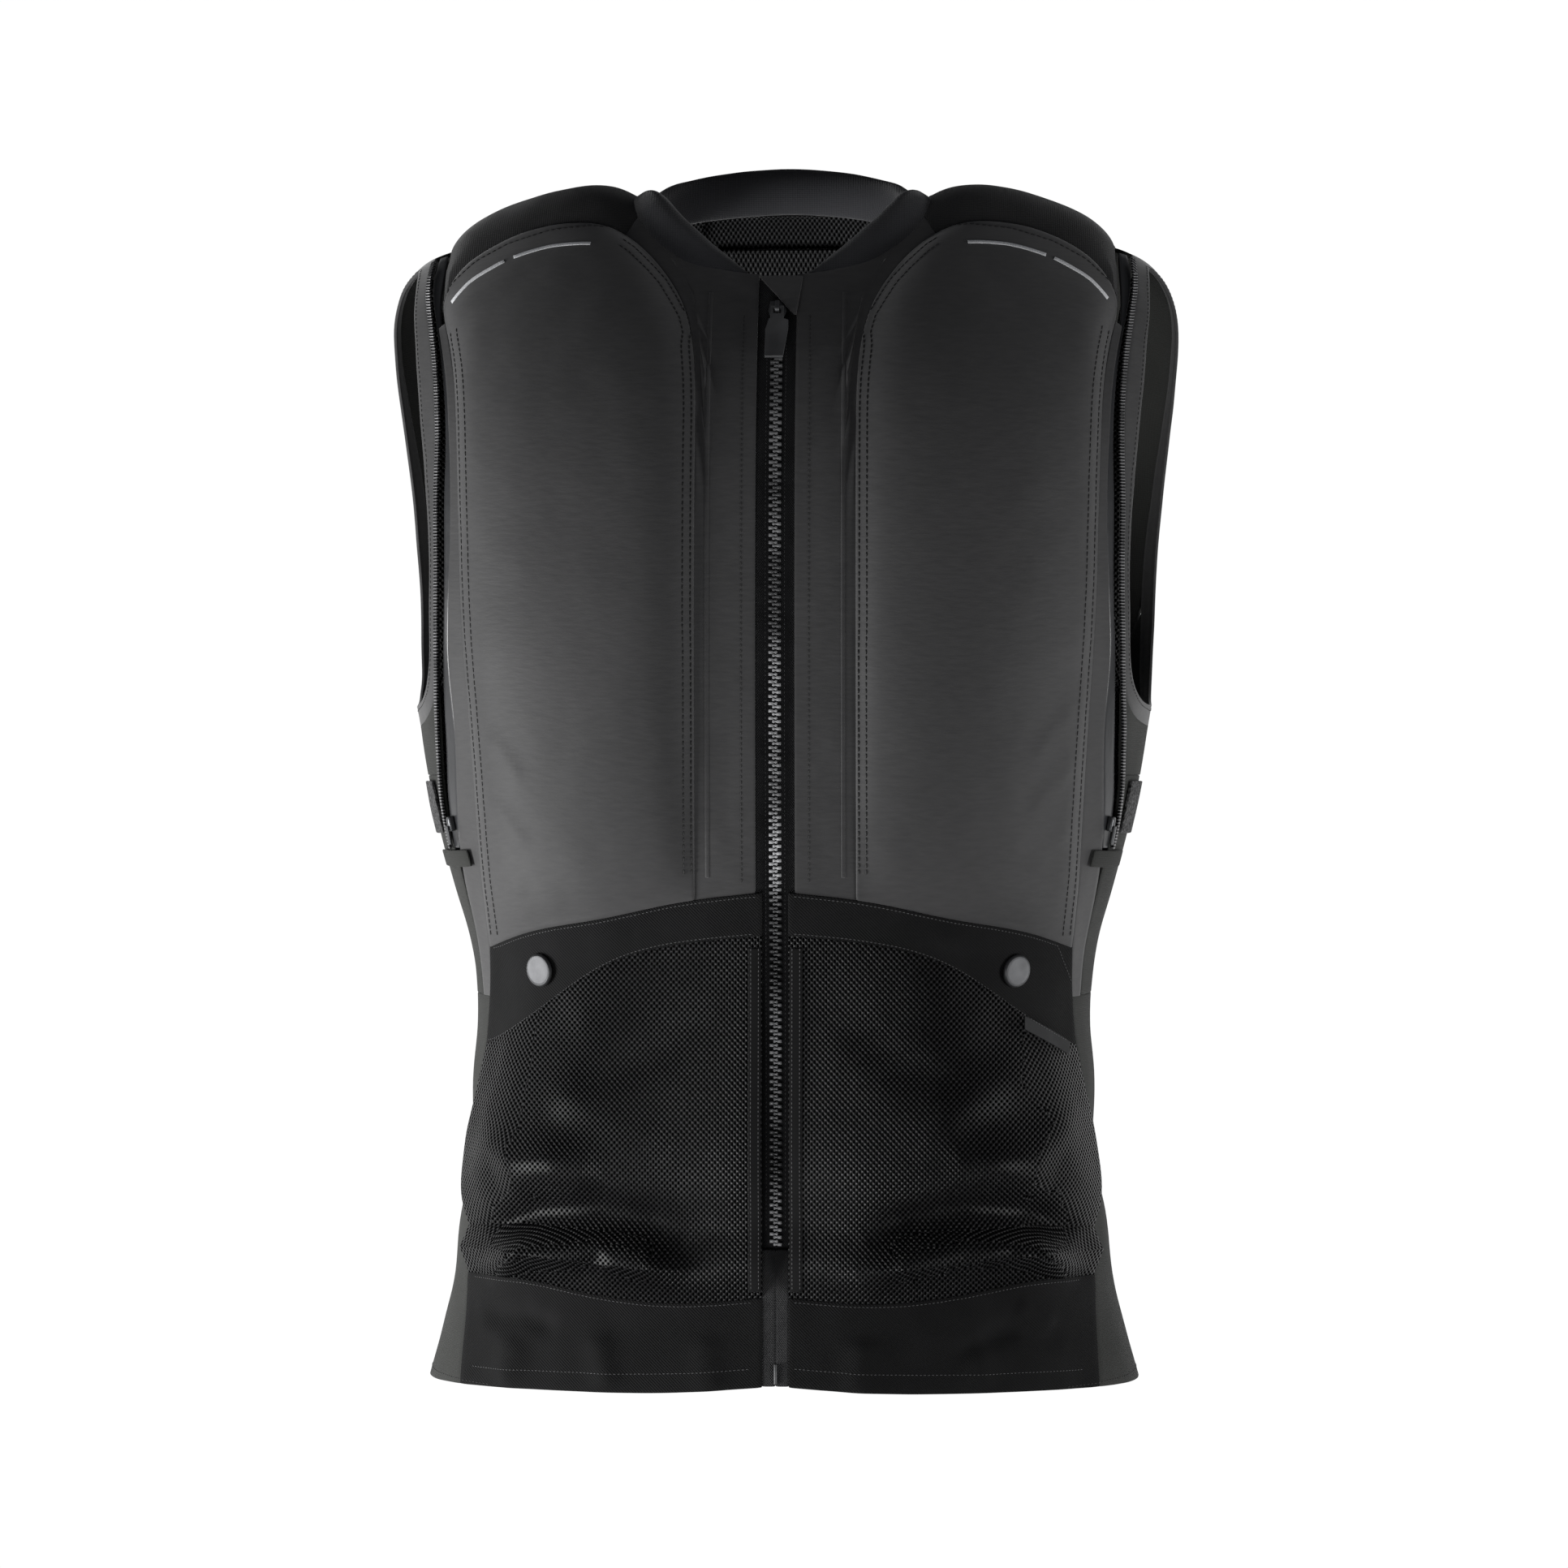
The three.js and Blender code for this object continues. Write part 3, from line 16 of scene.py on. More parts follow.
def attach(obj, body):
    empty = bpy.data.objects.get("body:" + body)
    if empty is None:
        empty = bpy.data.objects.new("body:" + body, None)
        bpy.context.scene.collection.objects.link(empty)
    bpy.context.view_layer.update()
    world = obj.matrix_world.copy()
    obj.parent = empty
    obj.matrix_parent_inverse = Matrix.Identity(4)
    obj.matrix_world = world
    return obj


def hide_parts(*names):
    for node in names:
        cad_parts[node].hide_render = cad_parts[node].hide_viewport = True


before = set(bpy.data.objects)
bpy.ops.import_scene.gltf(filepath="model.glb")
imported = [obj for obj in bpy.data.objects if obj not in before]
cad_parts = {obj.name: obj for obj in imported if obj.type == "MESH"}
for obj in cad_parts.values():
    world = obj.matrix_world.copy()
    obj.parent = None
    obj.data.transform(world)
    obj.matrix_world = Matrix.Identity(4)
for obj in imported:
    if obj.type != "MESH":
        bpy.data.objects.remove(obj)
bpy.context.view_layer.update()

# %% [markdown]
# The camera stands in front of the chest, a little to the wearer's left, level with the middle of the garment.
# A long lens from 2.2 m away keeps the shoulders and the hem at one scale, as a catalogue picture does.

# %% Camera
MM = 0.001


def add_object(name, data):
    made = bpy.data.objects.new(name, data)
    bpy.context.scene.collection.objects.link(made)
    return made


camera_distance = 2.2
camera_turn = math.radians(2)
camera_height = -0.289
lens_mm, film_mm = 96.45, 36
camera_data = bpy.data.cameras.new("camera")
camera_data.lens = lens_mm
camera_data.sensor_width = film_mm
camera = add_object("camera", camera_data)
camera.location = (
    camera_distance * math.sin(camera_turn),
    -camera_distance * math.cos(camera_turn),
    camera_height,
)
camera.rotation_euler = (math.radians(90), 0, camera_turn)
bpy.context.scene.camera = camera
print("camera", tuple(round(v, 3) for v in camera.location))

# %% [markdown]
# The studio is a white wall behind the garment in a room that is dim in front and overhead, so dark cloth
# stays dark and its sides catch a light edge from the wall. A large soft light stands far round to the
# viewer's left and sweeps across the chest. A weaker one answers it, and a low one lifts the pockets.
# The garment hangs as if worn, well above a small pale floor that the camera looks over.


# %% Studio
def room():
    world = bpy.data.worlds.new("room")
    world.use_nodes = True
    tree = world.node_tree
    sight = tree.nodes.new("ShaderNodeTexCoord")
    split = tree.nodes.new("ShaderNodeSeparateXYZ")
    tree.links.new(sight.outputs["Generated"], split.inputs[0])
    shares = []
    for axis, dark_at, white_at in (("Y", 0.1, 0.62), ("Z", 0.62, 0.22)):
        share = tree.nodes.new("ShaderNodeMapRange")
        share.interpolation_type = "SMOOTHSTEP"
        share.inputs["From Min"].default_value = dark_at
        share.inputs["From Max"].default_value = white_at
        tree.links.new(split.outputs[axis], share.inputs["Value"])
        shares.append(share.outputs[0])
    both = tree.nodes.new("ShaderNodeMath")
    both.operation = "MULTIPLY"
    for i, share in enumerate(shares):
        tree.links.new(share, both.inputs[i])
    tone = tree.nodes.new("ShaderNodeMix")
    tone.data_type = "RGBA"
    tone.inputs["A"].default_value = (0.055, 0.056, 0.06, 1)
    tone.inputs["B"].default_value = (1.02, 1.02, 1.02, 1)
    tree.links.new(both.outputs[0], tone.inputs["Factor"])
    tree.links.new(tone.outputs["Result"], tree.nodes["Background"].inputs["Color"])
    bpy.context.scene.world = world


def soft_light(name, place, target, width, height, watts):
    data = bpy.data.lights.new(name, "AREA")
    data.shape = "RECTANGLE"
    data.size = width
    data.size_y = height
    data.energy = watts
    light = add_object(name, data)
    light.location = place
    light.rotation_euler = (Vector(target) - Vector(place)).to_track_quat("-Z", "Y").to_euler()


room()
chest = (0, -0.1, -0.3)
soft_light("key_light", (-2.1, -0.6, -1.05), chest, 0.8, 1.3, 66)
soft_light("front_light", (-0.4, -2.4, -1.35), chest, 1.1, 0.9, 13)
soft_light("answer_light", (2.1, -0.9, -1.0), chest, 0.7, 1.3, 27)
bpy.context.scene.view_settings.view_transform = "Standard"
floor_radius, floor_height = 0.4, -0.82
bpy.ops.object.select_all(action="DESELECT")
bpy.ops.mesh.primitive_cylinder_add(vertices=96, radius=floor_radius, depth=0.01, location=(0, 0, floor_height))
floor = bpy.context.object
floor.name = "floor"
paint = bpy.data.materials.new("floor_paint")
paint.use_nodes = True
paint.node_tree.nodes["Principled BSDF"].inputs["Base Color"].default_value = (0.8, 0.8, 0.8, 1)
floor.data.materials.append(paint)
print("studio ready")

# %% [markdown]
# Every cloth here is nearly black, so what tells them apart is how they scatter light: the yarn's relief, the
# nap's sheen and a slow change of tone. Each finish is a small node tree. A weave that must follow the panel
# reads the map "cloth", whose unit is a metre of cloth. Grain without a direction reads Object coordinates.


# %% Node helpers
class Finish:
    """A material and short ways to add nodes to it."""

    def __init__(self, name, rough, sheen=0.0, metal=0.0, spec=0.5):
        self.material = bpy.data.materials.new(name)
        self.material.use_nodes = True
        self.tree = self.material.node_tree
        self.skin = self.tree.nodes["Principled BSDF"]
        names = ("Roughness", "Metallic", "Sheen Weight", "Sheen Roughness", "Specular IOR Level")
        for key, value in zip(names, (rough, metal, sheen, 0.45, spec)):
            self.skin.inputs[key].default_value = value

    def node(self, kind, **values):
        made = self.tree.nodes.new(kind)
        for key, value in values.items():
            if hasattr(made, key):
                setattr(made, key, value)
            else:
                made.inputs[key.replace("_", " ")].default_value = value
        return made

    def link(self, source, target):
        self.tree.links.new(source, target)

    def maths(self, operation, a, b=None):
        made = self.node("ShaderNodeMath", operation=operation)
        for i, value in enumerate((a, b)):
            if value is None:
                continue
            if isinstance(value, (int, float)):
                made.inputs[i].default_value = value
            else:
                self.link(value, made.inputs[i])
        return made.outputs[0]

    def solid_place(self, scale=(1, 1, 1)):
        sight = self.node("ShaderNodeTexCoord")
        stretch = self.node("ShaderNodeMapping", Scale=scale)
        self.link(sight.outputs["Object"], stretch.inputs["Vector"])
        return stretch.outputs[0]

    def cloth_place(self):
        place = self.node("ShaderNodeUVMap", uv_map="cloth")
        split = self.node("ShaderNodeSeparateXYZ")
        self.link(place.outputs[0], split.inputs[0])
        return split.outputs["X"], split.outputs["Y"]

    def grain(self, scale, detail=2.0, stretch=(1, 1, 1)):
        made = self.node("ShaderNodeTexNoise", Scale=scale, Detail=detail)
        self.link(self.solid_place(stretch), made.inputs["Vector"])
        return made.outputs[0]

    def cells(self, scale):
        made = self.node("ShaderNodeTexVoronoi", Scale=scale)
        self.link(self.solid_place(), made.inputs["Vector"])
        return made.outputs["Distance"]

    def wave(self, along, pitch, phase=0.0):
        """A cosine of a length, one turn for each pitch."""
        turned = self.maths("MULTIPLY", along, 2 * math.pi / pitch)
        return self.maths("COSINE", self.maths("ADD", turned, phase))

    def tones(self, factor, dark, light, low=0.25, high=0.75):
        ramp = self.node("ShaderNodeValToRGB")
        for i, (tone, place) in enumerate(((dark, low), (light, high))):
            ramp.color_ramp.elements[i].color = (*tone, 1)
            ramp.color_ramp.elements[i].position = place
        self.link(factor, ramp.inputs[0])
        self.link(ramp.outputs[0], self.skin.inputs["Base Color"])

    def relief(self, height, depth, strength=1.0):
        bump = self.node("ShaderNodeBump", Strength=strength, Distance=depth)
        self.link(height, bump.inputs["Height"])
        if self.skin.inputs["Normal"].links:
            self.link(self.skin.inputs["Normal"].links[0].from_socket, bump.inputs["Normal"])
        self.link(bump.outputs[0], self.skin.inputs["Normal"])


# %% [markdown]
# Softshell is a tight woven face over fleece. Its yarns are too fine to see from a few steps away, but they
# leave short level streaks, and the brushed surface glows a little at grazing angles, which sheen gives.


# %% Smooth cloths
def softshell_cloth():
    cloth = Finish("softshell", 0.62, sheen=0.4, spec=0.4)
    streaks = cloth.grain(520, 3, (0.25, 0.25, 1))
    clouds = cloth.grain(9, 4)
    cloth.tones(cloth.maths("ADD", cloth.maths("MULTIPLY", streaks, 0.5), cloth.maths("MULTIPLY", clouds, 0.5)),
                (0.03, 0.03, 0.031), (0.052, 0.051, 0.052))
    cloth.relief(streaks, 0.00025, 0.55)
    return cloth.material


def knit_cloth(name, dark, light, pitch, rough, sheen):
    """A fine stretch knit: ribs one pitch apart, crossed by rows of loops."""
    cloth = Finish(name, rough, sheen=sheen, spec=0.25)
    across, up = cloth.cloth_place()
    ribs = cloth.wave(across, pitch)
    loops = cloth.wave(up, pitch * 0.8)
    yarn = cloth.maths("MULTIPLY", cloth.maths("ADD", ribs, loops), 0.25)
    fuzz = cloth.grain(900, 2)
    cloth.tones(cloth.grain(16, 5), dark, light)
    cloth.relief(cloth.maths("ADD", yarn, fuzz), 0.0002, 0.7)
    return cloth.material


def twill_cloth():
    cloth = Finish("twill", 0.8, sheen=0.03, spec=0.2)
    across, up = cloth.cloth_place()
    diagonal = cloth.wave(cloth.maths("ADD", across, up), 0.0016)
    picks = cloth.wave(cloth.maths("SUBTRACT", across, up), 0.0011)
    weave = cloth.maths("ADD", cloth.maths("MULTIPLY", diagonal, 0.35), cloth.maths("MULTIPLY", picks, 0.15))
    tone = cloth.maths("ADD", cloth.maths("MULTIPLY", weave, 0.5), cloth.grain(40, 6))
    cloth.tones(tone, (0.0025, 0.0025, 0.0027), (0.0075, 0.0075, 0.0079))
    cloth.relief(weave, 0.0003, 0.8)
    return cloth.material


# %% [markdown]
# The pockets are a spacer mesh: rows of small diamond holes, each row half a hole out of step. The product of
# two cosines has its peaks in just that order. The peaks become the holes, sunk and painted near black: partly the
# dark cloth seen through them, partly painted shade inside them. The threads between them stay proud and shiny,
# and a painted highlight brightens their colour where they cross, stronger in noisy patches.


# %% Nets
def net_cloth(name, hole_wide, hole_tall, hole_tone, thread_tone, rough, depth, shine_share):
    cloth = Finish(name, rough)
    across, up = cloth.cloth_place()
    peaks = cloth.maths("MULTIPLY", cloth.wave(across, hole_wide), cloth.wave(up, hole_tall))
    masks = []
    for low, high in ((0.45, -0.05), (-0.25, -0.9)):
        mask = cloth.node("ShaderNodeMapRange", interpolation_type="SMOOTHSTEP", From_Min=low, From_Max=high)
        cloth.link(peaks, mask.inputs["Value"])
        masks.append(mask.outputs[0])
    thread, crossing_glint = masks
    # Painted highlight: the thread crossings are painted brighter in the base colour, more in some noisy patches
    # than in others. The holes' near-black tone is partly painted shade.
    wear_and_glint_patches = cloth.maths("ADD", cloth.maths("MULTIPLY", cloth.grain(45, 5), 0.9), -0.05)
    shine = cloth.maths("ADD", cloth.maths("MULTIPLY", thread, 0.3), cloth.maths("MULTIPLY", crossing_glint, wear_and_glint_patches))
    cloth.tones(shine, hole_tone, thread_tone, 0.02, 1.0)
    cloth.link(cloth.maths("MULTIPLY", shine, shine_share), cloth.skin.inputs["Specular IOR Level"])
    cloth.relief(cloth.maths("ADD", thread, crossing_glint), depth, 1.0)
    return cloth.material


# %% [markdown]
# The small trims: coated film on the side zip, woven zip tape, the fuzzy loop patch, the reflective piping with
# its glass beads, moulded plastic, and paint on die-cast metal.


# %% Trims
def film_finish():
    film = Finish("coated_film", 0.3, spec=0.6)
    film.tones(film.grain(30, 3), (0.02, 0.021, 0.023), (0.036, 0.037, 0.04))
    film.relief(film.grain(160, 3), 0.0003, 0.35)
    return film.material


def tape_cloth():
    tape = Finish("zip_cloth", 0.7, sheen=0.05, spec=0.35)
    across, up = tape.cloth_place()
    weave = tape.maths("MULTIPLY", tape.wave(across, 0.0011), tape.wave(up, 0.0014))
    tape.tones(tape.maths("ADD", tape.maths("MULTIPLY", weave, 0.3), tape.grain(90, 4)),
               (0.010, 0.010, 0.011), (0.026, 0.026, 0.028))
    tape.relief(weave, 0.0003, 0.8)
    return tape.material


def coil_finish():
    """Close turns of a coil, each with a pale glint, counted up the zip."""
    coil = Finish("coil", 0.38, spec=0.6)
    across, up = coil.cloth_place()
    turns = coil.wave(up, 0.0016)
    glints = coil.maths("MULTIPLY", turns, coil.grain(70, 3))
    coil.tones(glints, (0.012, 0.012, 0.013), (0.42, 0.42, 0.43), 0.22, 0.55)
    coil.relief(turns, 0.0005, 1.0)
    return coil.material


def loop_finish():
    loops = Finish("loop_pile", 0.95, sheen=0.35, spec=0.2)
    curls = loops.cells(620)
    loops.tones(curls, (0.012, 0.012, 0.012), (0.09, 0.09, 0.092))
    loops.relief(curls, 0.0012, 1.0)
    return loops.material


def reflective_finish():
    beads = Finish("reflective", 0.45, spec=0.7)
    dots = beads.cells(1400)
    beads.tones(dots, (0.72, 0.73, 0.75), (0.95, 0.96, 0.98))
    beads.relief(dots, 0.0002, 0.5)
    return beads.material


def hard_finish(name, dark, light, rough, metal):
    hard = Finish(name, rough, metal=metal)
    hard.tones(hard.grain(60, 5), dark, light)
    hard.relief(hard.grain(900, 2), 0.00008, 0.4)
    wear_and_glint_patches = hard.node("ShaderNodeMapRange", To_Min=rough - 0.08, To_Max=rough + 0.1)
    hard.link(hard.grain(140, 4), wear_and_glint_patches.inputs["Value"])
    hard.link(wear_and_glint_patches.outputs[0], hard.skin.inputs["Roughness"])
    return hard.material


def tooth_finish():
    """Moulded teeth with painted highlights: long stretches along the chain are painted bright, as if catching the
    light.
    """
    tooth = Finish("tooth_plastic", 0.34, metal=0.1, spec=0.7)
    # Painted highlight: a slow noise along the chain paints long stretches of the teeth much brighter.
    tooth.tones(tooth.grain(13, 3, (0.2, 0.2, 1)), (0.07, 0.071, 0.073), (0.62, 0.624, 0.636), 0.4, 0.6)
    tooth.relief(tooth.grain(900, 2), 0.00008, 0.4)
    return tooth.material


def thread_finish(name, dark, light):
    thread = Finish(name, 0.6, sheen=0.1)
    thread.tones(thread.grain(1200, 2), dark, light)
    thread.relief(thread.grain(2600, 2), 0.0001, 0.6)
    return thread.material


finishes = {
    "softshell": softshell_cloth(),
    "fine_knit": knit_cloth("fine_knit", (0.014, 0.014, 0.0145), (0.026, 0.026, 0.0265), 0.0011, 0.86, 0.2),
    "jersey": knit_cloth("jersey", (0.021, 0.0215, 0.0245), (0.038, 0.0385, 0.043), 0.0013, 0.86, 0.3),
    "twill": twill_cloth(),
    "spacer_mesh": net_cloth("spacer_mesh", 0.0026, 0.0046, (0.0012, 0.0012, 0.0014), (0.085, 0.0865, 0.09),
                             0.45, 0.0014, 0.9),
    "pocket_mesh": net_cloth("pocket_mesh", 0.0028, 0.003, (0.0006, 0.0006, 0.0007), (0.023, 0.0232, 0.025),
                             0.34, 0.0012, 0.9),
    "stretch": knit_cloth("stretch", (0.024, 0.025, 0.023), (0.042, 0.043, 0.04), 0.0009, 0.82, 0.1),
    "coated_film": film_finish(),
    "zip_cloth": tape_cloth(),
    "coil": coil_finish(),
    "loop_pile": loop_finish(),
    "reflective": reflective_finish(),
    "moulded_plastic": hard_finish("moulded_plastic", (0.06, 0.061, 0.063), (0.09, 0.091, 0.094), 0.4, 0.0),
    "tooth_plastic": tooth_finish(),
    "tab_cloth": hard_finish("tab_cloth", (0.012, 0.0122, 0.0128), (0.025, 0.0255, 0.0265), 0.75, 0.0),
    "slider_paint": hard_finish("slider_paint", (0.07, 0.072, 0.075), (0.12, 0.122, 0.127), 0.36, 0.7),
    "cap_paint": hard_finish("cap_paint", (0.05, 0.051, 0.053), (0.085, 0.086, 0.09), 0.45, 0.6),
    "dark_thread": thread_finish("dark_thread", (0.003, 0.003, 0.003), (0.009, 0.009, 0.0095)),
    "grey_thread": thread_finish("grey_thread", (0.07, 0.07, 0.072), (0.15, 0.15, 0.154)),
}
print(len(finishes), "finishes")

# %% [markdown]
# The panels share one way of making. A copy of the solid's mesh is merged and its triangles are paired into
# the quads that it was built from. A Subdivision Surface then makes the cloth smooth, while the sharp rim
# edges are creased so that the seam stays where it is, and a small Bevel rounds the rim as folded cloth is.


# %% Panel helpers
def choose(piece):
    """Selects one piece alone and makes it active."""
    if bpy.context.object and bpy.context.object.mode != "OBJECT":
        bpy.ops.object.mode_set(mode="OBJECT")
    bpy.ops.object.select_all(action="DESELECT")
    piece.select_set(True)
    bpy.context.view_layer.objects.active = piece


def merged_copy(node, name):
    piece = add_object(name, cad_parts[node].data.copy())
    piece.data.name = name
    piece.data.materials.clear()
    choose(piece)
    bpy.ops.object.mode_set(mode="EDIT")
    bpy.ops.mesh.select_all(action="SELECT")
    bpy.ops.mesh.remove_doubles(threshold=0.00003)
    bpy.ops.mesh.tris_convert_to_quads(face_threshold=math.radians(50), shape_threshold=math.radians(80))
    bpy.ops.mesh.select_all(action="DESELECT")
    bpy.ops.object.mode_set(mode="OBJECT")
    return piece


def apply_modifier(piece, kind, **settings):
    choose(piece)
    made = piece.modifiers.new(kind.lower(), kind)
    for key, value in settings.items():
        setattr(made, key, value)
    bpy.ops.object.modifier_apply(modifier=made.name)


def round_edges(piece, width, segments=2, **limits):
    apply_modifier(piece, "BEVEL", width=width, segments=segments, limit_method="ANGLE", **limits)


def shade(piece, angle=None):
    """Shades a piece smooth, or only across edges up to an angle in degrees."""
    choose(piece)
    if angle:
        bpy.ops.object.shade_smooth_by_angle(angle=math.radians(angle))
    else:
        bpy.ops.object.shade_smooth()


def unit(ways):
    """Rows of vectors at length 1."""
    return ways / np.maximum(np.linalg.norm(ways, axis=1, keepdims=True), 1e-9)


print("mesh helpers ready")

# %% [markdown]
# A CAD panel has coarse facets and hard rims. Its sharp rims are creased, so that subdivision rounds the cloth
# but keeps the outline. The rims are then spread a little, because sewn panels touch, and get a rounded edge.


# %% Smooth panels
def crease_rims(piece, angle):
    """Creases the edges that are sharper than an angle, so that smoothing keeps them."""
    shape = bmesh.new()
    shape.from_mesh(piece.data)
    crease = shape.edges.layers.float.new("crease_edge")
    sharp = 0
    for edge in shape.edges:
        if len(edge.link_faces) == 2 and edge.calc_face_angle(0) > angle:
            edge[crease] = 1
            sharp += 1
    shape.to_mesh(piece.data)
    shape.free()
    return sharp


def away_from_body(points):
    """Unit directions that point out of the trunk, and up over the shoulders."""
    core = np.stack([
        np.clip(points[:, 0], -0.085, 0.085),
        np.zeros(len(points)),
        np.minimum(points[:, 2], -0.13),
    ], 1)
    return unit((points - core) * np.array([1, 1.25, 1]))


def facing_out(piece):
    """How much each face looks away from the trunk, from -1 to 1."""
    middles = np.array([face.center[:] for face in piece.data.polygons])
    normals = np.array([face.normal[:] for face in piece.data.polygons])
    return (away_from_body(middles) * normals).sum(1)


def spread_rims(piece, reach):
    """Moves a panel's rim walls outward along the cloth, so that sewn neighbours meet."""
    points = read_points(piece)
    push = np.zeros_like(points)
    for face, out in zip(piece.data.polygons, facing_out(piece)):
        if abs(out) < 0.35:
            push[list(face.vertices)] += np.array(face.normal[:])
    size = np.linalg.norm(push, axis=1, keepdims=True)
    write_points(piece, points + unit(push) * np.minimum(size, 1) * reach)


def smooth_panel(piece, cell, rim):
    """Refines a panel until its cells are about cell metres wide, and rounds its rims by rim metres."""
    crease_rims(piece, math.radians(42))
    lengths = [(piece.data.vertices[e.vertices[0]].co - piece.data.vertices[e.vertices[1]].co).length
               for e in piece.data.edges]
    typical = float(np.percentile(lengths, 70))
    levels = max(1, min(3, round(math.log2(typical / cell))))
    apply_modifier(piece, "SUBSURF", levels=levels, render_levels=levels)
    spread_rims(piece, 0.0005)
    round_edges(piece, rim, angle_limit=math.radians(42), use_clamp_overlap=True)
    shade(piece)


print("panels can be smoothed")

# %% [markdown]
# A weave has to follow the cloth, and a projection of whole metres is enough for panels this flat. Each face
# is mapped along the axis that it faces most, so yarns stay level and upright, as a cutter lays them.


# %% Cloth map
def read_rows(items, key, kind, width=1):
    """One property of every item of a mesh, a row for each."""
    values = np.empty(len(items) * width, kind)
    items.foreach_get(key, values)
    return values.reshape(-1, width)


def lay_cloth_map(piece):
    """Gives each face a map in metres, seen along the axis that it faces most."""
    mesh = piece.data
    for old in list(mesh.uv_layers):
        mesh.uv_layers.remove(old)
    layer = mesh.uv_layers.new(name="cloth")
    normals = read_rows(mesh.polygons, "normal", np.float32, 3)
    facing = np.abs(normals).argmax(1).repeat(read_rows(mesh.polygons, "loop_total", np.int32)[:, 0])
    spots = read_rows(mesh.vertices, "co", np.float32, 3)[read_rows(mesh.loops, "vertex_index", np.int32)[:, 0]]
    across = np.where(facing == 0, spots[:, 1], spots[:, 0])
    up = np.where(facing == 2, spots[:, 1], spots[:, 2])
    layer.data.foreach_set("uv", np.stack([across, up], 1).ravel().astype(np.float32))


def read_points(piece):
    return read_rows(piece.data.vertices, "co", np.float64, 3)


def write_points(piece, points):
    piece.data.vertices.foreach_set("co", np.asarray(points, np.float64).ravel())
    piece.data.update()


print("panel helpers ready")

# %% [markdown]
# Worn cloth is never flat: it pulls at seams, sags into folds above the hem and ripples where it has slack.
# One field of folds covers the whole garment, so that two panels that meet at a seam move alike there and no
# gap opens. A fold is a line on the front, its width and its height, and it pushes the cloth along the way
# that faces away from the body.


# %% Folds
# Each fold: its line as (x, z) on the front, its width and its height, in mm. A negative height is a crease.
# First the two pouches with the sag above the hem, then the hem's own waves, the chest's outer edges, the
# plackets and the top of the bands.
folds = [
    ([(-153, -541), (-126, -522), (-90, -518), (-66, -525), (-44, -537)], 9, 8.0),
    ([(-150, -521), (-122, -503), (-90, -499), (-64, -505), (-44, -518)], 9, -5.0),
    ([(-146, -486), (-116, -478), (-84, -480)], 14, 4.0),
    ([(40, -537), (65, -524), (95, -517), (128, -521), (155, -541)], 9, 8.0),
    ([(42, -518), (66, -505), (95, -498), (126, -502), (152, -521)], 9, -5.0),
    ([(78, -480), (110, -476), (142, -486)], 14, 3.6),
    ([(-100, -534), (-84, -520)], 4, -1.6),
    ([(104, -532), (120, -521)], 4, -1.6),
    ([(-158, -470), (-130, -478), (-100, -478)], 9, 2.2),
    ([(-120, -440), (-86, -452), (-52, -476)], 12, 1.8),
    ([(156, -452), (128, -474), (96, -482)], 9, 2.0),
    ([(132, -428), (96, -446), (60, -472)], 12, 1.6),
    ([(-30, -400), (-58, -424), (-92, -436)], 9, -1.4),
    ([(30, -404), (62, -430), (100, -442)], 9, -1.3),
    ([(-152, -560), (-128, -556), (-108, -562)], 5, -2.6),
    ([(146, -572), (122, -560), (98, -567), (86, -576)], 5, -3.2),
    ([(140, -563), (118, -551)], 6, 2.4),
    ([(-90, -561), (-84, -592)], 7, 2.6),
    ([(-36, -560), (-32, -594)], 8, 2.2),
    ([(44, -562), (40, -594)], 8, 2.4),
    ([(96, -558), (104, -592)], 8, 2.4),
    ([(-132, -566), (-138, -594)], 7, 2.4),
    ([(148, -250), (128, -278)], 4, 0.9),
    ([(150, -276), (126, -306)], 4, 1.0),
    ([(147, -310), (124, -334)], 4, 0.9),
    ([(-146, -262), (-126, -290)], 4, 0.9),
    ([(-145, -296), (-124, -322)], 4, 1.0),
    ([(-144, -326), (-126, -346)], 4, 0.9),
    ([(-16, -150), (-30, -172)], 3.5, 0.35),
    ([(-15, -236), (-32, -262)], 3.5, 0.4),
    ([(-15, -300), (-32, -320)], 3.5, 0.35),
    ([(17, -130), (31, -110)], 3.5, 0.35),
    ([(18, -206), (32, -184)], 3.5, 0.4),
    ([(18, -288), (32, -264)], 3.5, 0.4),
    ([(-120, -372), (-96, -364), (-70, -364)], 7, 1.2),
    ([(126, -384), (104, -371), (72, -364)], 7, 1.2),
]


def distance_to_line(flat, line):
    """The distance of 2-D points to a broken line, and how far along it each is, from 0 to 1."""
    line = np.array(line, float)
    steps = np.linalg.norm(np.diff(line, axis=0), axis=1)
    before = np.concatenate([[0], np.cumsum(steps)])
    best = np.full(len(flat), 1e9)
    along = np.zeros(len(flat))
    for i, step in enumerate(steps):
        way = (line[i + 1] - line[i]) / step
        reach = (flat - line[i]) @ way
        held = np.clip(reach, 0, step)
        gap = np.linalg.norm(flat - line[i] - held[:, None] * way, axis=1)
        nearer = gap < best
        best[nearer] = gap[nearer]
        along[nearer] = (before[i] + held[nearer]) / before[-1]
    return best, along


def fold_field(points):
    """How far each point moves out, in metres."""
    moved = np.zeros(len(points))
    mm = points * 1000
    on_front = mm[:, 1] < -12
    for line, width, height in folds:
        gap, along = distance_to_line(mm[on_front][:, [0, 2]], line)
        ends = np.clip(np.minimum(along, 1 - along) * 5, 0.12, 1)
        moved[on_front] += height * np.exp(-((gap / width) ** 2)) * ends
    return moved * MM


def ripple_field(points, coarse, fine):
    """Slow and quick unevenness, in metres, that any cloth has."""
    moved = np.empty(len(points))
    for i, p in enumerate(points):
        slow = noise.noise((p[0] * 17, p[1] * 17, p[2] * 12))
        quick = noise.noise((p[0] * 62 + 5, p[1] * 62, p[2] * 40))
        moved[i] = coarse * slow + fine * quick
    return moved


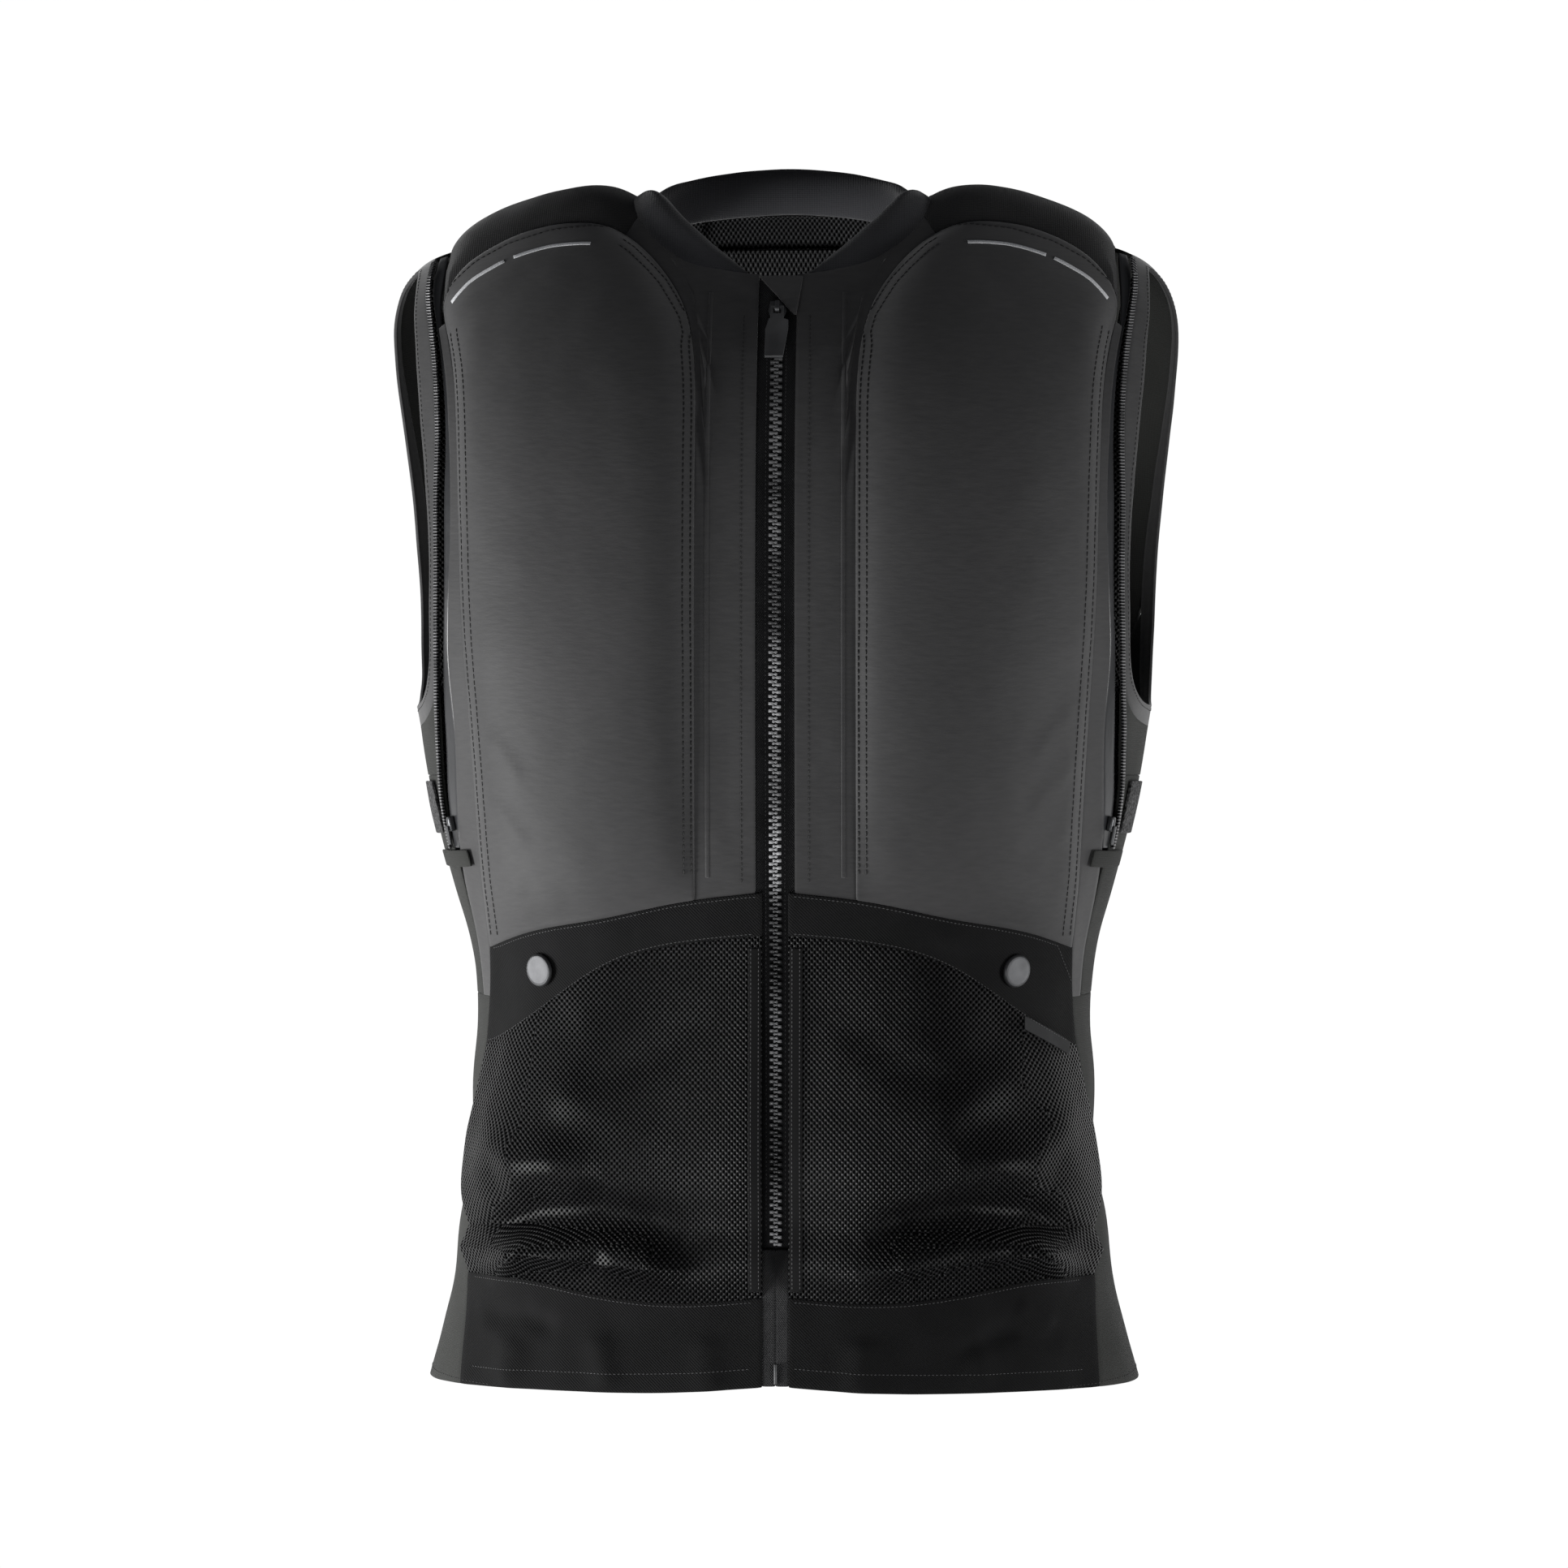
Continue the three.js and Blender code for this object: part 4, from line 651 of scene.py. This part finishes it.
def wrinkle(piece, coarse=0.0009, fine=0.00035):
    """Moves a piece by the folds and ripples, which fade out beside the zip because its teeth hold it flat."""
    points = read_points(piece)
    calm = np.where(points[:, 1] < 0, np.clip((np.abs(points[:, 0]) - 0.009) / 0.014, 0.06, 1), 1)
    push = fold_field(points) + ripple_field(points, coarse, fine) * calm
    write_points(piece, points + away_from_body(points) * push[:, None])


print(len(folds), "folds")

# %% [markdown]
# Padded pieces come first: two chest chambers, two shoulder chambers, the back chamber and the collar roll.
# Each holds folded bladder and foam, so it is blown up as a cloth with a little pressure inside. Its rim is
# held, because it is sewn to its neighbours, and no point may travel more than a few millimetres.


# %% Padded pieces
def held_rim(points, start, reach):
    """1 in the middle of a padded piece and 0 at its sewn rim, by the distance to the rim's points."""
    tree = KDTree(len(start))
    for i, p in enumerate(start):
        tree.insert(p, i)
    tree.balance()
    free = np.array([min(1.0, tree.find(p)[2] / reach) for p in points])
    return free * free * (3 - 2 * free)


def rim_points(piece, angle):
    """Points along the edges that are sharper than an angle, a few millimetres apart."""
    shape = bmesh.new()
    shape.from_mesh(piece.data)
    found = []
    for edge in shape.edges:
        if len(edge.link_faces) == 2 and edge.calc_face_angle(0) > angle:
            a, b = (v.co.copy() for v in edge.verts)
            count = max(1, round((b - a).length / 0.004))
            found.extend(a.lerp(b, i / count) for i in range(count + 1))
    shape.free()
    return found


def blow_up(piece, pressure, cap, rim):
    """Inflates a padded piece as a cloth, and keeps each point within cap of its start."""
    start = read_points(piece)
    free = held_rim(start, rim, 0.022)
    choose(piece)
    pins = piece.vertex_groups.new(name="sewn")
    for i, share in enumerate(free):
        pins.add([i], float(1 - share) ** 2, "REPLACE")
    cloth = piece.modifiers.new("inflate", "CLOTH")
    cloth.settings.use_pressure = True
    cloth.settings.uniform_pressure_force = pressure
    cloth.settings.effector_weights.gravity = 0
    cloth.settings.vertex_group_mass = "sewn"
    cloth.settings.quality = 4
    cloth.settings.mass = 0.25
    cloth.settings.tension_stiffness = 12
    cloth.settings.bending_stiffness = 0.25
    cloth.point_cache.frame_start = 1
    cloth.point_cache.frame_end = 20
    for step in range(1, 21):
        bpy.context.scene.frame_set(step)
    evaluated = piece.evaluated_get(bpy.context.evaluated_depsgraph_get())
    end = np.array([v.co[:] for v in evaluated.data.vertices])
    piece.modifiers.remove(cloth)
    piece.vertex_groups.clear()
    move = end - start
    far = np.linalg.norm(move, axis=1, keepdims=True)
    move *= np.minimum(1, cap / np.maximum(far, 1e-9)) * free[:, None]
    write_points(piece, start + move)
    bpy.context.scene.frame_set(1)
    print(piece.name, "moved up to", round(float(np.linalg.norm(move, axis=1).max()) * 1000, 1), "mm")


def settle_roll(piece):
    """Lets the front of the collar roll swell and sink outward over its seam, so the neck opening is round."""
    points = read_points(piece)
    normals = np.array([vertex.normal[:] for vertex in piece.data.vertices])
    turn = np.arctan2(points[:, 0], -points[:, 1])
    degrees = np.degrees(np.abs(turn))
    share = np.interp(degrees, (0, 18, 34, 52, 68, 84, 100), (0.3, 0.5, 0.9, 1, 0.95, 0.5, 0))
    drop = np.interp(degrees, (36, 58, 78, 96, 118), (0, 3.5, 8, 4, 0))
    up = away_from_body(points)
    way = np.stack([np.sin(turn), -np.cos(turn), np.zeros(len(turn))], 1)
    way = unit(way - (way * up).sum(1, keepdims=True) * up)
    moved = points + share[:, None] * (way * 5.5 + up * 1.0 + normals * 2.0) * MM
    moved[:, 2] -= drop * MM
    write_points(piece, moved)
    apply_modifier(piece, "SMOOTH", factor=0.5, iterations=8)


def padded_piece(node, finish, cell, cap, coarse=0.0007, fine=0.0003):
    piece = merged_copy(node, "padded_" + node)
    smooth_panel(piece, cell, 0.0009)
    rim = rim_points(piece, math.radians(24))
    blow_up(piece, 3.0, cap, rim)
    if node == "collar_roll":
        apply_modifier(piece, "SMOOTH", factor=0.5, iterations=24)
        settle_roll(piece)
    wrinkle(piece, coarse, fine)
    lay_cloth_map(piece)
    piece.data.materials.append(finishes[finish])
    shade(piece)
    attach(piece, "vest")
    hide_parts(node)
    return piece


sides = ("left", "right")
soft = {}
for side in sides:
    soft["chest_chamber_" + side] = padded_piece("chest_chamber_" + side, "softshell", 0.003, 0.003)
    soft["shoulder_chamber_" + side] = padded_piece("shoulder_chamber_" + side, "fine_knit", 0.003, 0.003)
soft["back_chamber"] = padded_piece("back_chamber", "softshell", 0.0045, 0.003)
soft["collar_roll"] = padded_piece("collar_roll", "jersey", 0.003, 0.0015)
print(len(soft), "padded pieces")

# %% [markdown]
# The sheets: every single panel of cloth. Each keeps the thickness of its solid and takes the same folds as its
# neighbours. The size that it was cut to follows from its own measured area and its longest way.


# %% Sheets
sheet_finish = {
    "placket": "softshell",
    "side_strip": "softshell",
    "armhole_binding": "softshell",
    "pocket_band": "twill",
    "hem_band": "twill",
    "mesh_pocket": "pocket_mesh",
    "zip_gusset": "pocket_mesh",
    "zip_film": "coated_film",
    "underarm_panel": "stretch",
    "back_side_panel": "stretch",
    "side_panel": "stretch",
    "side_skirt": "stretch",
    "side_tab": "stretch",
    "loop_patch": "loop_pile",
    "side_coil": "coil",
    "zip_tape": "zip_cloth",
    "zip_stop_cover": "zip_cloth",
}
single_finish = {
    "back_yoke": "fine_knit",
    "back_skirt": "stretch",
    "back_lining": "spacer_mesh",
    "zip_garage": "softshell",
    "pocket_tab_left": "tab_cloth",
}
cell_of = {"mesh_pocket": 0.002, "placket": 0.0025, "pocket_band": 0.003, "hem_band": 0.003}


def sheet_piece(node, finish, cell=0.004, rim=0.0007):
    piece = merged_copy(node, "cloth_" + node)
    smooth_panel(piece, cell, rim)
    wrinkle(piece)
    lay_cloth_map(piece)
    piece.data.materials.append(finishes[finish])
    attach(piece, "vest")
    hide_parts(node)
    return piece


for stem, finish in sheet_finish.items():
    for side in sides:
        soft[f"{stem}_{side}"] = sheet_piece(f"{stem}_{side}", finish, cell_of.get(stem, 0.004))
for node, finish in single_finish.items():
    soft[node] = sheet_piece(node, finish)
print(len(soft), "soft pieces,", sum(len(p.data.polygons) for p in soft.values()), "faces")

# %% [markdown]
# The inner side of the yoke, the shoulder pads and the skirt is the same net as the back lining, which shows
# through the neck and the armholes. The net is a second material on the faces that look at the body. Then
# each sheet is declared with its cut size. Tapes narrower than a centimetre are trims, not sheets.


# %% Linings and cut sizes
cut_sizes = {}


def line_inside(node, finish):
    """Gives the faces that look at the body another cloth: the lining that is sewn to the panel's back."""
    piece = soft[node]
    piece.data.materials.append(finishes[finish])
    inside = facing_out(piece) < -0.3
    piece.data.polygons.foreach_set("material_index", inside.astype(np.int32))


def half_area(piece):
    return sum(face.area for face in piece.data.polygons) / 2


def declare_sheet(piece):
    """Declares a sheet from its own area and its longest way, which is its length as cut."""
    points = read_points(piece)
    area = half_area(piece)
    length = max(float(max(np.ptp(points, axis=0))), 0.011)
    width = max(area / length * 1.03, 0.0101)
    cut_area = max(0.31 * width * length, min(area, width * length))
    cut_sizes[piece.name] = (round(width, 4), round(length, 4), round(cut_area, 5))


for node in ("back_yoke", "shoulder_chamber_left", "shoulder_chamber_right", "back_skirt"):
    line_inside(node, "spacer_mesh")
narrow_trim = ("side_coil", "stop_cover", "pocket_tab")
for node, piece in soft.items():
    if not piece.name.startswith("cloth_") or any(word in node for word in narrow_trim):
        continue
    stem, _, side = node.rpartition("_")
    declare_sheet(piece)
print(len(cut_sizes), "sheets declared")

# %% [markdown]
# Everything sewn or riveted on lies on the finished cloth. A row starts as a line on a flat view of one side,
# in millimetres, and is dropped straight onto the cloth. Where the cloth steps away, the row is split.


# %% Rows on the cloth
def surface_of(pieces):
    points, faces = [], []
    for piece in pieces:
        start = len(points)
        points.extend(vertex.co.copy() for vertex in piece.data.vertices)
        faces.extend([start + i for i in face.vertices] for face in piece.data.polygons)
    return BVHTree.FromPolygons(points, faces)


views = {
    "front": (lambda a, b: Vector((a, -400, b)), Vector((0, 1, 0))),
    "back": (lambda a, b: Vector((a, 400, b)), Vector((0, -1, 0))),
    "left": (lambda a, b: Vector((400, a, b)), Vector((-1, 0, 0))),
    "right": (lambda a, b: Vector((-400, a, b)), Vector((1, 0, 0))),
}
cloth_surface = surface_of(soft.values())


def run_along(points):
    """How far along a broken line each of its points is."""
    return np.concatenate([[0], np.cumsum(np.linalg.norm(np.diff(points, axis=0), axis=1))])


def fine_line(line, step=1.0):
    """The points of a broken line, a step apart."""
    line = np.array(line, float)
    at = run_along(line)
    wanted = np.arange(0, at[-1], step)
    return np.stack([np.interp(wanted, at, line[:, i]) for i in range(line.shape[1])], 1)


def drop_row(view, line, jump=5.0):
    """The rows of cloth points and outward directions under a line in one view."""
    start_at, way = views[view]
    rows, row = [], []
    for a, b in fine_line(line):
        spot, normal, _, _ = cloth_surface.ray_cast(start_at(a, b) * MM, way)
        if row and (spot is None or (spot - row[-1][0]).length > jump * MM):
            rows.append(row)
            row = []
        if spot is not None:
            row.append((spot, -normal if normal.dot(way) > 0 else normal))
    rows.append(row)
    return [row for row in rows if len(row) > 6]


def stations(row, pitch):
    """Even stations along a row: points, forward and outward directions."""
    points = np.array([spot[:] for spot, _ in row])
    outs = np.array([out[:] for _, out in row])
    at = run_along(points)
    wanted = np.arange(pitch / 2, at[-1], pitch)
    spots = np.stack([np.interp(wanted, at, points[:, i]) for i in range(3)], 1)
    out = np.stack([np.interp(wanted, at, outs[:, i]) for i in range(3)], 1)
    ahead = unit(np.gradient(spots, axis=0))
    return spots, ahead, unit(out - (out * ahead).sum(1, keepdims=True) * ahead)


print("rows ready")

# %% [markdown]
# Stitches and strips are laid along those rows. One bead of thread is modelled and copied to every station, all
# in one mesh. A strip starts as a grid that is bent along its row, then gets a thickness and soft edges.


# %% Stitches and strips
def finish_piece(piece, finish, body="vest"):
    piece.data.materials.clear()
    piece.data.materials.append(finishes[finish])
    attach(piece, body)
    return piece


def copied_along(name, base, places):
    """One mesh of copies of a modelled shape. Each place gives the spots and the shape's x, y and z directions."""
    shape = read_points(base)
    corners = [list(face.vertices) for face in base.data.polygons]
    points, faces = [], []
    for spots, ahead, out in places:
        sideways = np.cross(out, ahead)
        frames = np.stack([ahead, sideways, out], 1)
        laid = np.einsum("ni,mij->mnj", shape, frames) + spots[:, None, :]
        for k in range(len(spots)):
            start = (len(points) + k) * len(shape)
            faces.extend([start + i for i in corner] for corner in corners)
        points.extend(laid)
    mesh = bpy.data.meshes.new(name)
    mesh.from_pydata(np.concatenate(points).tolist(), [], faces)
    piece = add_object(name, mesh)
    shade(piece)
    return piece


def modelled_stitch(long, thick):
    """One stitch: a slim bead of thread along x."""
    bpy.ops.object.select_all(action="DESELECT")
    bpy.ops.mesh.primitive_uv_sphere_add(segments=6, ring_count=5, radius=0.5, rotation=(0, math.radians(90), 0))
    bead = bpy.context.object
    bpy.ops.object.transform_apply(location=False, rotation=True, scale=False)
    bead.scale = (long * MM, thick * MM, thick * MM * 0.8)
    bpy.ops.object.transform_apply(location=False, rotation=False, scale=True)
    return bead


def sewn(name, lines, thread, pitch, long, thick):
    """Sews rows of stitches. Each line is a view and its points in millimetres."""
    stitch = modelled_stitch(long, thick)
    places = []
    for view, line in lines:
        for row in drop_row(view, line):
            spots, ahead, out = stations(row, pitch * MM)
            if len(spots) > 1:
                places.append((spots + out * thick * MM * 0.18, ahead, out))
    piece = finish_piece(copied_along(name, stitch, places), thread)
    bpy.data.objects.remove(stitch)
    print(name, sum(len(spots) for spots, _, _ in places), "stitches")
    return piece


def laid_strip(name, row, width, thick, finish):
    """A flat strip with a slight crown, laid along a row."""
    spots, ahead, out = stations(row, 1.5 * MM)
    last = len(spots) - 1
    bpy.ops.object.select_all(action="DESELECT")
    bpy.ops.mesh.primitive_grid_add(x_subdivisions=last, y_subdivisions=4, size=1)
    strip = bpy.context.object
    strip.name = strip.data.name = name
    flat = read_points(strip)
    step = np.clip(np.rint((flat[:, 0] + 0.5) * last).astype(int), 0, last)
    sideways = np.cross(out, ahead)
    crown = (0.15 - flat[:, 1] ** 2) * thick * MM
    moved = spots[step] + sideways[step] * flat[:, 1:2] * width * MM + out[step] * crown[:, None]
    write_points(strip, moved)
    apply_modifier(strip, "SOLIDIFY", thickness=thick * MM, offset=0)
    round_edges(strip, thick * MM * 0.3)
    shade(strip)
    return finish_piece(strip, finish)


print("stitch and strip ready")

# %% [markdown]
# Narrow strips: the reflective piping under each shoulder seam, which follows its own solid, the folded edge
# of the facing that runs down each placket, and the twill tape that binds each pocket beside the zip.


# %% Piping and facing folds
def middle_line(node):
    """The middle of a thin strip's solid in the front view, from its corners, four at each station along x."""
    corners = np.unique(np.round(read_points(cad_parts[node]) * 1000, 2), axis=0)
    corners = corners[np.argsort(corners[:, 0])]
    return [corners[i : i + 4][:, [0, 2]].mean(0).tolist() for i in range(0, len(corners) - 3, 4)]


for side in sides:
    for place in ("inner", "outer"):
        node = f"{place}_stripe_{side}"
        row = max(drop_row("front", middle_line(node)), key=len)
        piping = laid_strip("piping_" + node, row, 2.5, 0.55, "reflective")
        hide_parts(node)
for sign, side in ((1, "left"), (-1, "right")):
    row = max(drop_row("front", [(33.6 * sign, -336), (33.6 * sign, -40)]), key=len)
    laid_strip("facing_fold_" + side, row, 2.0, 0.6, "softshell")
    row = max(drop_row("front", [(10.2 * sign, -541), (10.2 * sign, -368)]), key=len)
    soft["pocket_tape_" + side] = laid_strip("pocket_tape_" + side, row, 6.2, 0.7, "twill")
cloth_surface = surface_of(soft.values())
print("piping, folds and pocket tapes laid")

# %% [markdown]
# Seam lines. A panel's edge is found on the finished piece: at each station a probe moves across the view in
# quarter millimetres until it meets the piece. The stitches then lie a set distance inside that edge.


# %% Seam lines
def edge_line(node, view, along, low, high, start, stop, inset, step=4.0):
    """The points inset mm inside a piece's edge. along says which way the stations run: across or up."""
    tree = surface_of([soft[node]])
    start_at, way = views[view]
    move = 0.25 if stop > start else -0.25
    line = []
    for at in np.arange(low, high + 0.1, step):
        for probe in np.arange(start, stop, move):
            spot = (at, probe) if along == "across" else (probe, at)
            if tree.ray_cast(start_at(*spot) * MM, way)[0]:
                inside = probe + inset * (1 if move > 0 else -1)
                line.append((at, inside) if along == "across" else (inside, at))
                break
    line = np.array(line)
    free = 1 if along == "across" else 0
    padded = np.pad(line[:, free], 1, mode="edge")
    line[:, free] = np.convolve(padded, np.ones(3) / 3, mode="valid")
    return line.tolist()


def beside(line, distance):
    """A line at a distance to the left of another, looking along it."""
    line = np.array(line, float)
    ahead = unit(np.gradient(line, axis=0))
    return (line + np.stack([-ahead[:, 1], ahead[:, 0]], 1) * distance).tolist()


def mirrored(line):
    return [(-a, b) for a, b in line]


princess_top = [(41.5, -62), (44, -53), (49, -44), (55, -34), (61.8, -26), (72.5, -15), (79.3, -10)]
shoulder_seam = [(84, -8.5), (96.8, -7.7), (117.4, -10), (138, -16.7), (153.5, -25.4), (164.8, -36), (169, -46)]
chamber_rows, placket_rows, band_rows = [], [], []
for side, sign in (("left", 1), ("right", -1)):
    turn = (lambda line: line) if sign > 0 else mirrored
    chamber, band, hem = f"chest_chamber_{side}", f"pocket_band_{side}", f"hem_band_{side}"
    for inset in (1.7, 5.5):
        inner = edge_line(chamber, "front", "up", -334, -70, 26 * sign, 70 * sign, inset)
        top = turn(beside(princess_top, -inset))
        chamber_rows.append(("front", inner + top))
        outer = edge_line(chamber, "front", "up", -366, -56, 186 * sign, 120 * sign, inset)
        chamber_rows.append(("front", outer))
    chamber_rows.append(("front", turn(beside(shoulder_seam, 4))))
    placket_rows.append(("front", turn([(16.7, -54), (16.7, -338)])))
    for start, stop, inset in ((-330, -400, 1.7), (-470, -345, 1.7)):
        reach = sorted((9 * sign, 154 * sign))
        band_rows.append(("front", edge_line(band, "front", "across", *reach, start, stop, inset)))
    for start, stop, inset in ((-525, -570, 1.7), (-614, -575, 9.5)):
        reach = sorted((9 * sign, 156 * sign))
        band_rows.append(("front", edge_line(hem, "front", "across", *reach, start, stop, inset)))
    for out in (8.3, 12.1):
        band_rows.append(("front", turn([(out, -370), (out, -540)])))
    band_rows.append(("front", turn([(4.75, -62), (4.75, -512)])))
    placket_rows.append((side, [(-84, -592), (78, -592)]))
    ring = []
    tree = surface_of([soft[f"armhole_binding_{side}"]])
    for turned in range(0, 364, 4):
        reach = Vector((0, math.cos(math.radians(turned)), math.sin(math.radians(turned))))
        for far in np.arange(25, 140, 0.5):
            probe = Vector((400 * sign, -17, -136)) + reach * far
            if tree.ray_cast(probe * MM, Vector((-sign, 0, 0)))[0]:
                ring.append((probe.y + reach.y * 2.6, probe.z + reach.z * 2.6))
                break
    placket_rows.append((side, ring))
for inset in (1.8, 5.6):
    for sign in (1, -1):
        chamber_rows.append(
            ("back", edge_line("back_chamber", "back", "up", -388, -40, 190 * sign, 90 * sign, inset)))
    chamber_rows.append(("back", edge_line("back_chamber", "back", "across", -128, 128, -420, -370, inset)))
placket_rows.append(("back", [(-148, -592), (148, -592)]))
sewn("chamber_stitches", chamber_rows, "dark_thread", 3.2, 2.6, 0.8)
sewn("placket_stitches", placket_rows, "dark_thread", 2.7, 1.9, 0.46)
sewn("band_stitches", band_rows, "grey_thread", 2.1, 1.25, 0.34)

# %% [markdown]
# The front zip. One tooth is modelled: a block on the tape's edge, a narrow neck and a wider head that locks
# between its neighbours. Copies run down both tapes, half a pitch out of step, and follow the tapes' curve.


# %% Zip teeth
def facing(piece, direction, least=0.9):
    """Selects the faces that point along a direction, and enters edit mode."""
    choose(piece)
    direction = Vector(direction)
    bpy.context.tool_settings.mesh_select_mode = (False, False, True)
    bpy.ops.object.mode_set(mode="EDIT")
    bpy.ops.mesh.select_all(action="DESELECT")
    bpy.ops.object.mode_set(mode="OBJECT")
    for face in piece.data.polygons:
        face.select = face.normal.dot(direction) > least
    bpy.ops.object.mode_set(mode="EDIT")


def push_face(move, grow):
    bpy.ops.mesh.extrude_region_move(TRANSFORM_OT_translate={"value": Vector(move) * MM})
    bpy.ops.transform.resize(value=grow)


def box_piece(name, size, place):
    bpy.ops.object.select_all(action="DESELECT")
    bpy.ops.mesh.primitive_cube_add(size=1)
    box = bpy.context.object
    box.name = box.data.name = name
    box.scale = Vector(size) * MM
    box.location = Vector(place) * MM
    bpy.ops.object.transform_apply(location=True, rotation=True, scale=True)
    return box


tooth_pitch = 3.6
tooth = box_piece("tooth", (1.5, 1.9, 2.4), (0, 2.05, 0))
facing(tooth, (0, -1, 0))
push_face((0, -0.25, 0), (0.6, 1, 0.85))
push_face((0, -0.9, 0), (1, 1, 1))
push_face((0, -0.35, 0), (1.75, 1, 1))
push_face((0, -0.75, 0), (0.8, 1, 0.9))
bpy.ops.object.mode_set(mode="OBJECT")
round_edges(tooth, 0.16 * MM, 1)
print("tooth", len(tooth.data.polygons), "faces")
for side, sign in (("left", 1), ("right", -1)):
    row = max(drop_row("front", [(2.2 * sign, -519), (2.2 * sign, -57)]), key=len)
    spots, ahead, out = stations(row, 0.4 * MM)
    first = -517.4 + (0 if sign > 0 else tooth_pitch / 2)
    near = [int(np.abs(spots[:, 2] - z * MM).argmin()) for z in np.arange(first, -57.5, tooth_pitch)]
    seats = spots[near] + out[near] * 1.55 * MM
    seats[:, 0] = 0
    place = (seats, -sign * ahead[near], out[near])
    teeth = finish_piece(copied_along("zip_teeth_" + side, tooth, [place]), "tooth_plastic")
    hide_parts("zip_chain_" + side)
    print(side, len(near), "teeth")
bpy.data.objects.remove(tooth)

# %% [markdown]
# The slider and its pull keep their solids' shape, with their edges rounded. The pull's face is sunk inside a
# rim. The retaining pin shows between the two stop covers at the hem.


# %% Slider, pull and pin
slider = merged_copy("zip_slider", "slider_body")
round_edges(slider, 0.28 * MM, 3, angle_limit=math.radians(35))
shade(slider, 40)
finish_piece(slider, "slider_paint")
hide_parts("zip_slider")

pull = merged_copy("zip_pull", "pull_plate")
pull_faces = [(face.normal.y, face.area, face.normal.copy()) for face in pull.data.polygons]
pull_front = min(pull_faces, key=lambda face: face[0])[2]
facing(pull, pull_front, 0.98)
bpy.ops.mesh.inset(thickness=0.5 * MM, depth=-0.22 * MM)
bpy.ops.object.mode_set(mode="OBJECT")
round_edges(pull, 0.14 * MM, angle_limit=math.radians(35))
shade(pull, 40)
finish_piece(pull, "moulded_plastic", body="pull")
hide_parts("zip_pull")


def spot_under(view, a, b, reach=0.0):
    """The cloth point under a place in a view, and its outward direction, averaged over reach millimetres."""
    start_at, way = views[view]
    outs = Vector()
    for da, db in ((0, 0), (reach, 0), (-reach, 0), (0, reach), (0, -reach)):
        spot, normal, _, _ = cloth_surface.ray_cast(start_at(a + da, b + db) * MM, way)
        outs += -normal if normal.dot(way) > 0 else normal
        if not (da or db):
            middle = spot
    return middle, outs.normalized()


def set_on(piece, spot, out, lift=0.0):
    """Stands a piece that was modelled along z on a point of the cloth."""
    turn = out.to_track_quat("Z", "Y").to_matrix().to_4x4()
    piece.data.transform(Matrix.Translation(spot + out * lift * MM) @ turn)


bpy.ops.object.select_all(action="DESELECT")
bpy.ops.mesh.primitive_cylinder_add(vertices=12, radius=0.8 * MM, depth=10 * MM)
pin = bpy.context.object
pin.name = pin.data.name = "zip_pin"
round_edges(pin, 0.3 * MM)
low_spot = spot_under("front", 1.2, -581, 0.5)[0]
pin.data.transform(Matrix.Translation((0, low_spot.y - 0.0002, low_spot.z)))
shade(pin)
finish_piece(pin, "moulded_plastic")
print("slider", len(slider.data.polygons), "pull", len(pull.data.polygons), "faces")

# %% [markdown]
# The snap caps are shallow domes with a raised ring and a level middle, modelled from a disc by pushing its
# face out step by step. Each side zip ends at a small slider with a short pull.


# %% Snap caps and side sliders
def snap_cap(side, a, b):
    bpy.ops.object.select_all(action="DESELECT")
    bpy.ops.mesh.primitive_cylinder_add(vertices=48, radius=8.5 * MM, depth=1.1 * MM, location=(0, 0, 0.55 * MM))
    cap = bpy.context.object
    bpy.ops.object.transform_apply(location=True, rotation=True, scale=True)
    cap.name = cap.data.name = "cap_dome_" + side
    facing(cap, (0, 0, 1))
    for rise, share in ((0.7, 0.965), (0.45, 0.95), (0.2, 0.95), (0.0, 0.97), (-0.16, 0.97), (0.0, 0.8)):
        push_face((0, 0, rise), (share, share, 1))
    bpy.ops.object.mode_set(mode="OBJECT")
    apply_modifier(cap, "SUBSURF", levels=1, render_levels=1)
    shade(cap, 50)
    set_on(cap, *spot_under("front", a, b, 6), lift=0.25)
    finish_piece(cap, "cap_paint")
    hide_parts("snap_cap_" + side)


def side_slider(side, sign):
    body = box_piece("side_slider_" + side, (4.2, 7.5, 2.4), (0, 0, 1.6))
    facing(body, (0, 0, 1))
    push_face((0, 0, 0.7), (0.5, 0.6, 1))
    bpy.ops.object.mode_set(mode="OBJECT")
    round_edges(body, 0.45 * MM, 3)
    tag = box_piece("side_pull_" + side, (3.0, 9.5, 1.0), (0, -5.5, 4.0))
    round_edges(tag, 0.3 * MM)
    spot, out = spot_under("front", 167 * sign, -309, 2)
    for piece in (body, tag):
        shade(piece, 40)
        set_on(piece, spot, out)
        finish_piece(piece, "slider_paint")


for side, sign in (("left", 1), ("right", -1)):
    snap_cap(side, 119 * sign, -382.5)
    side_slider(side, sign)
print("caps and side sliders set")
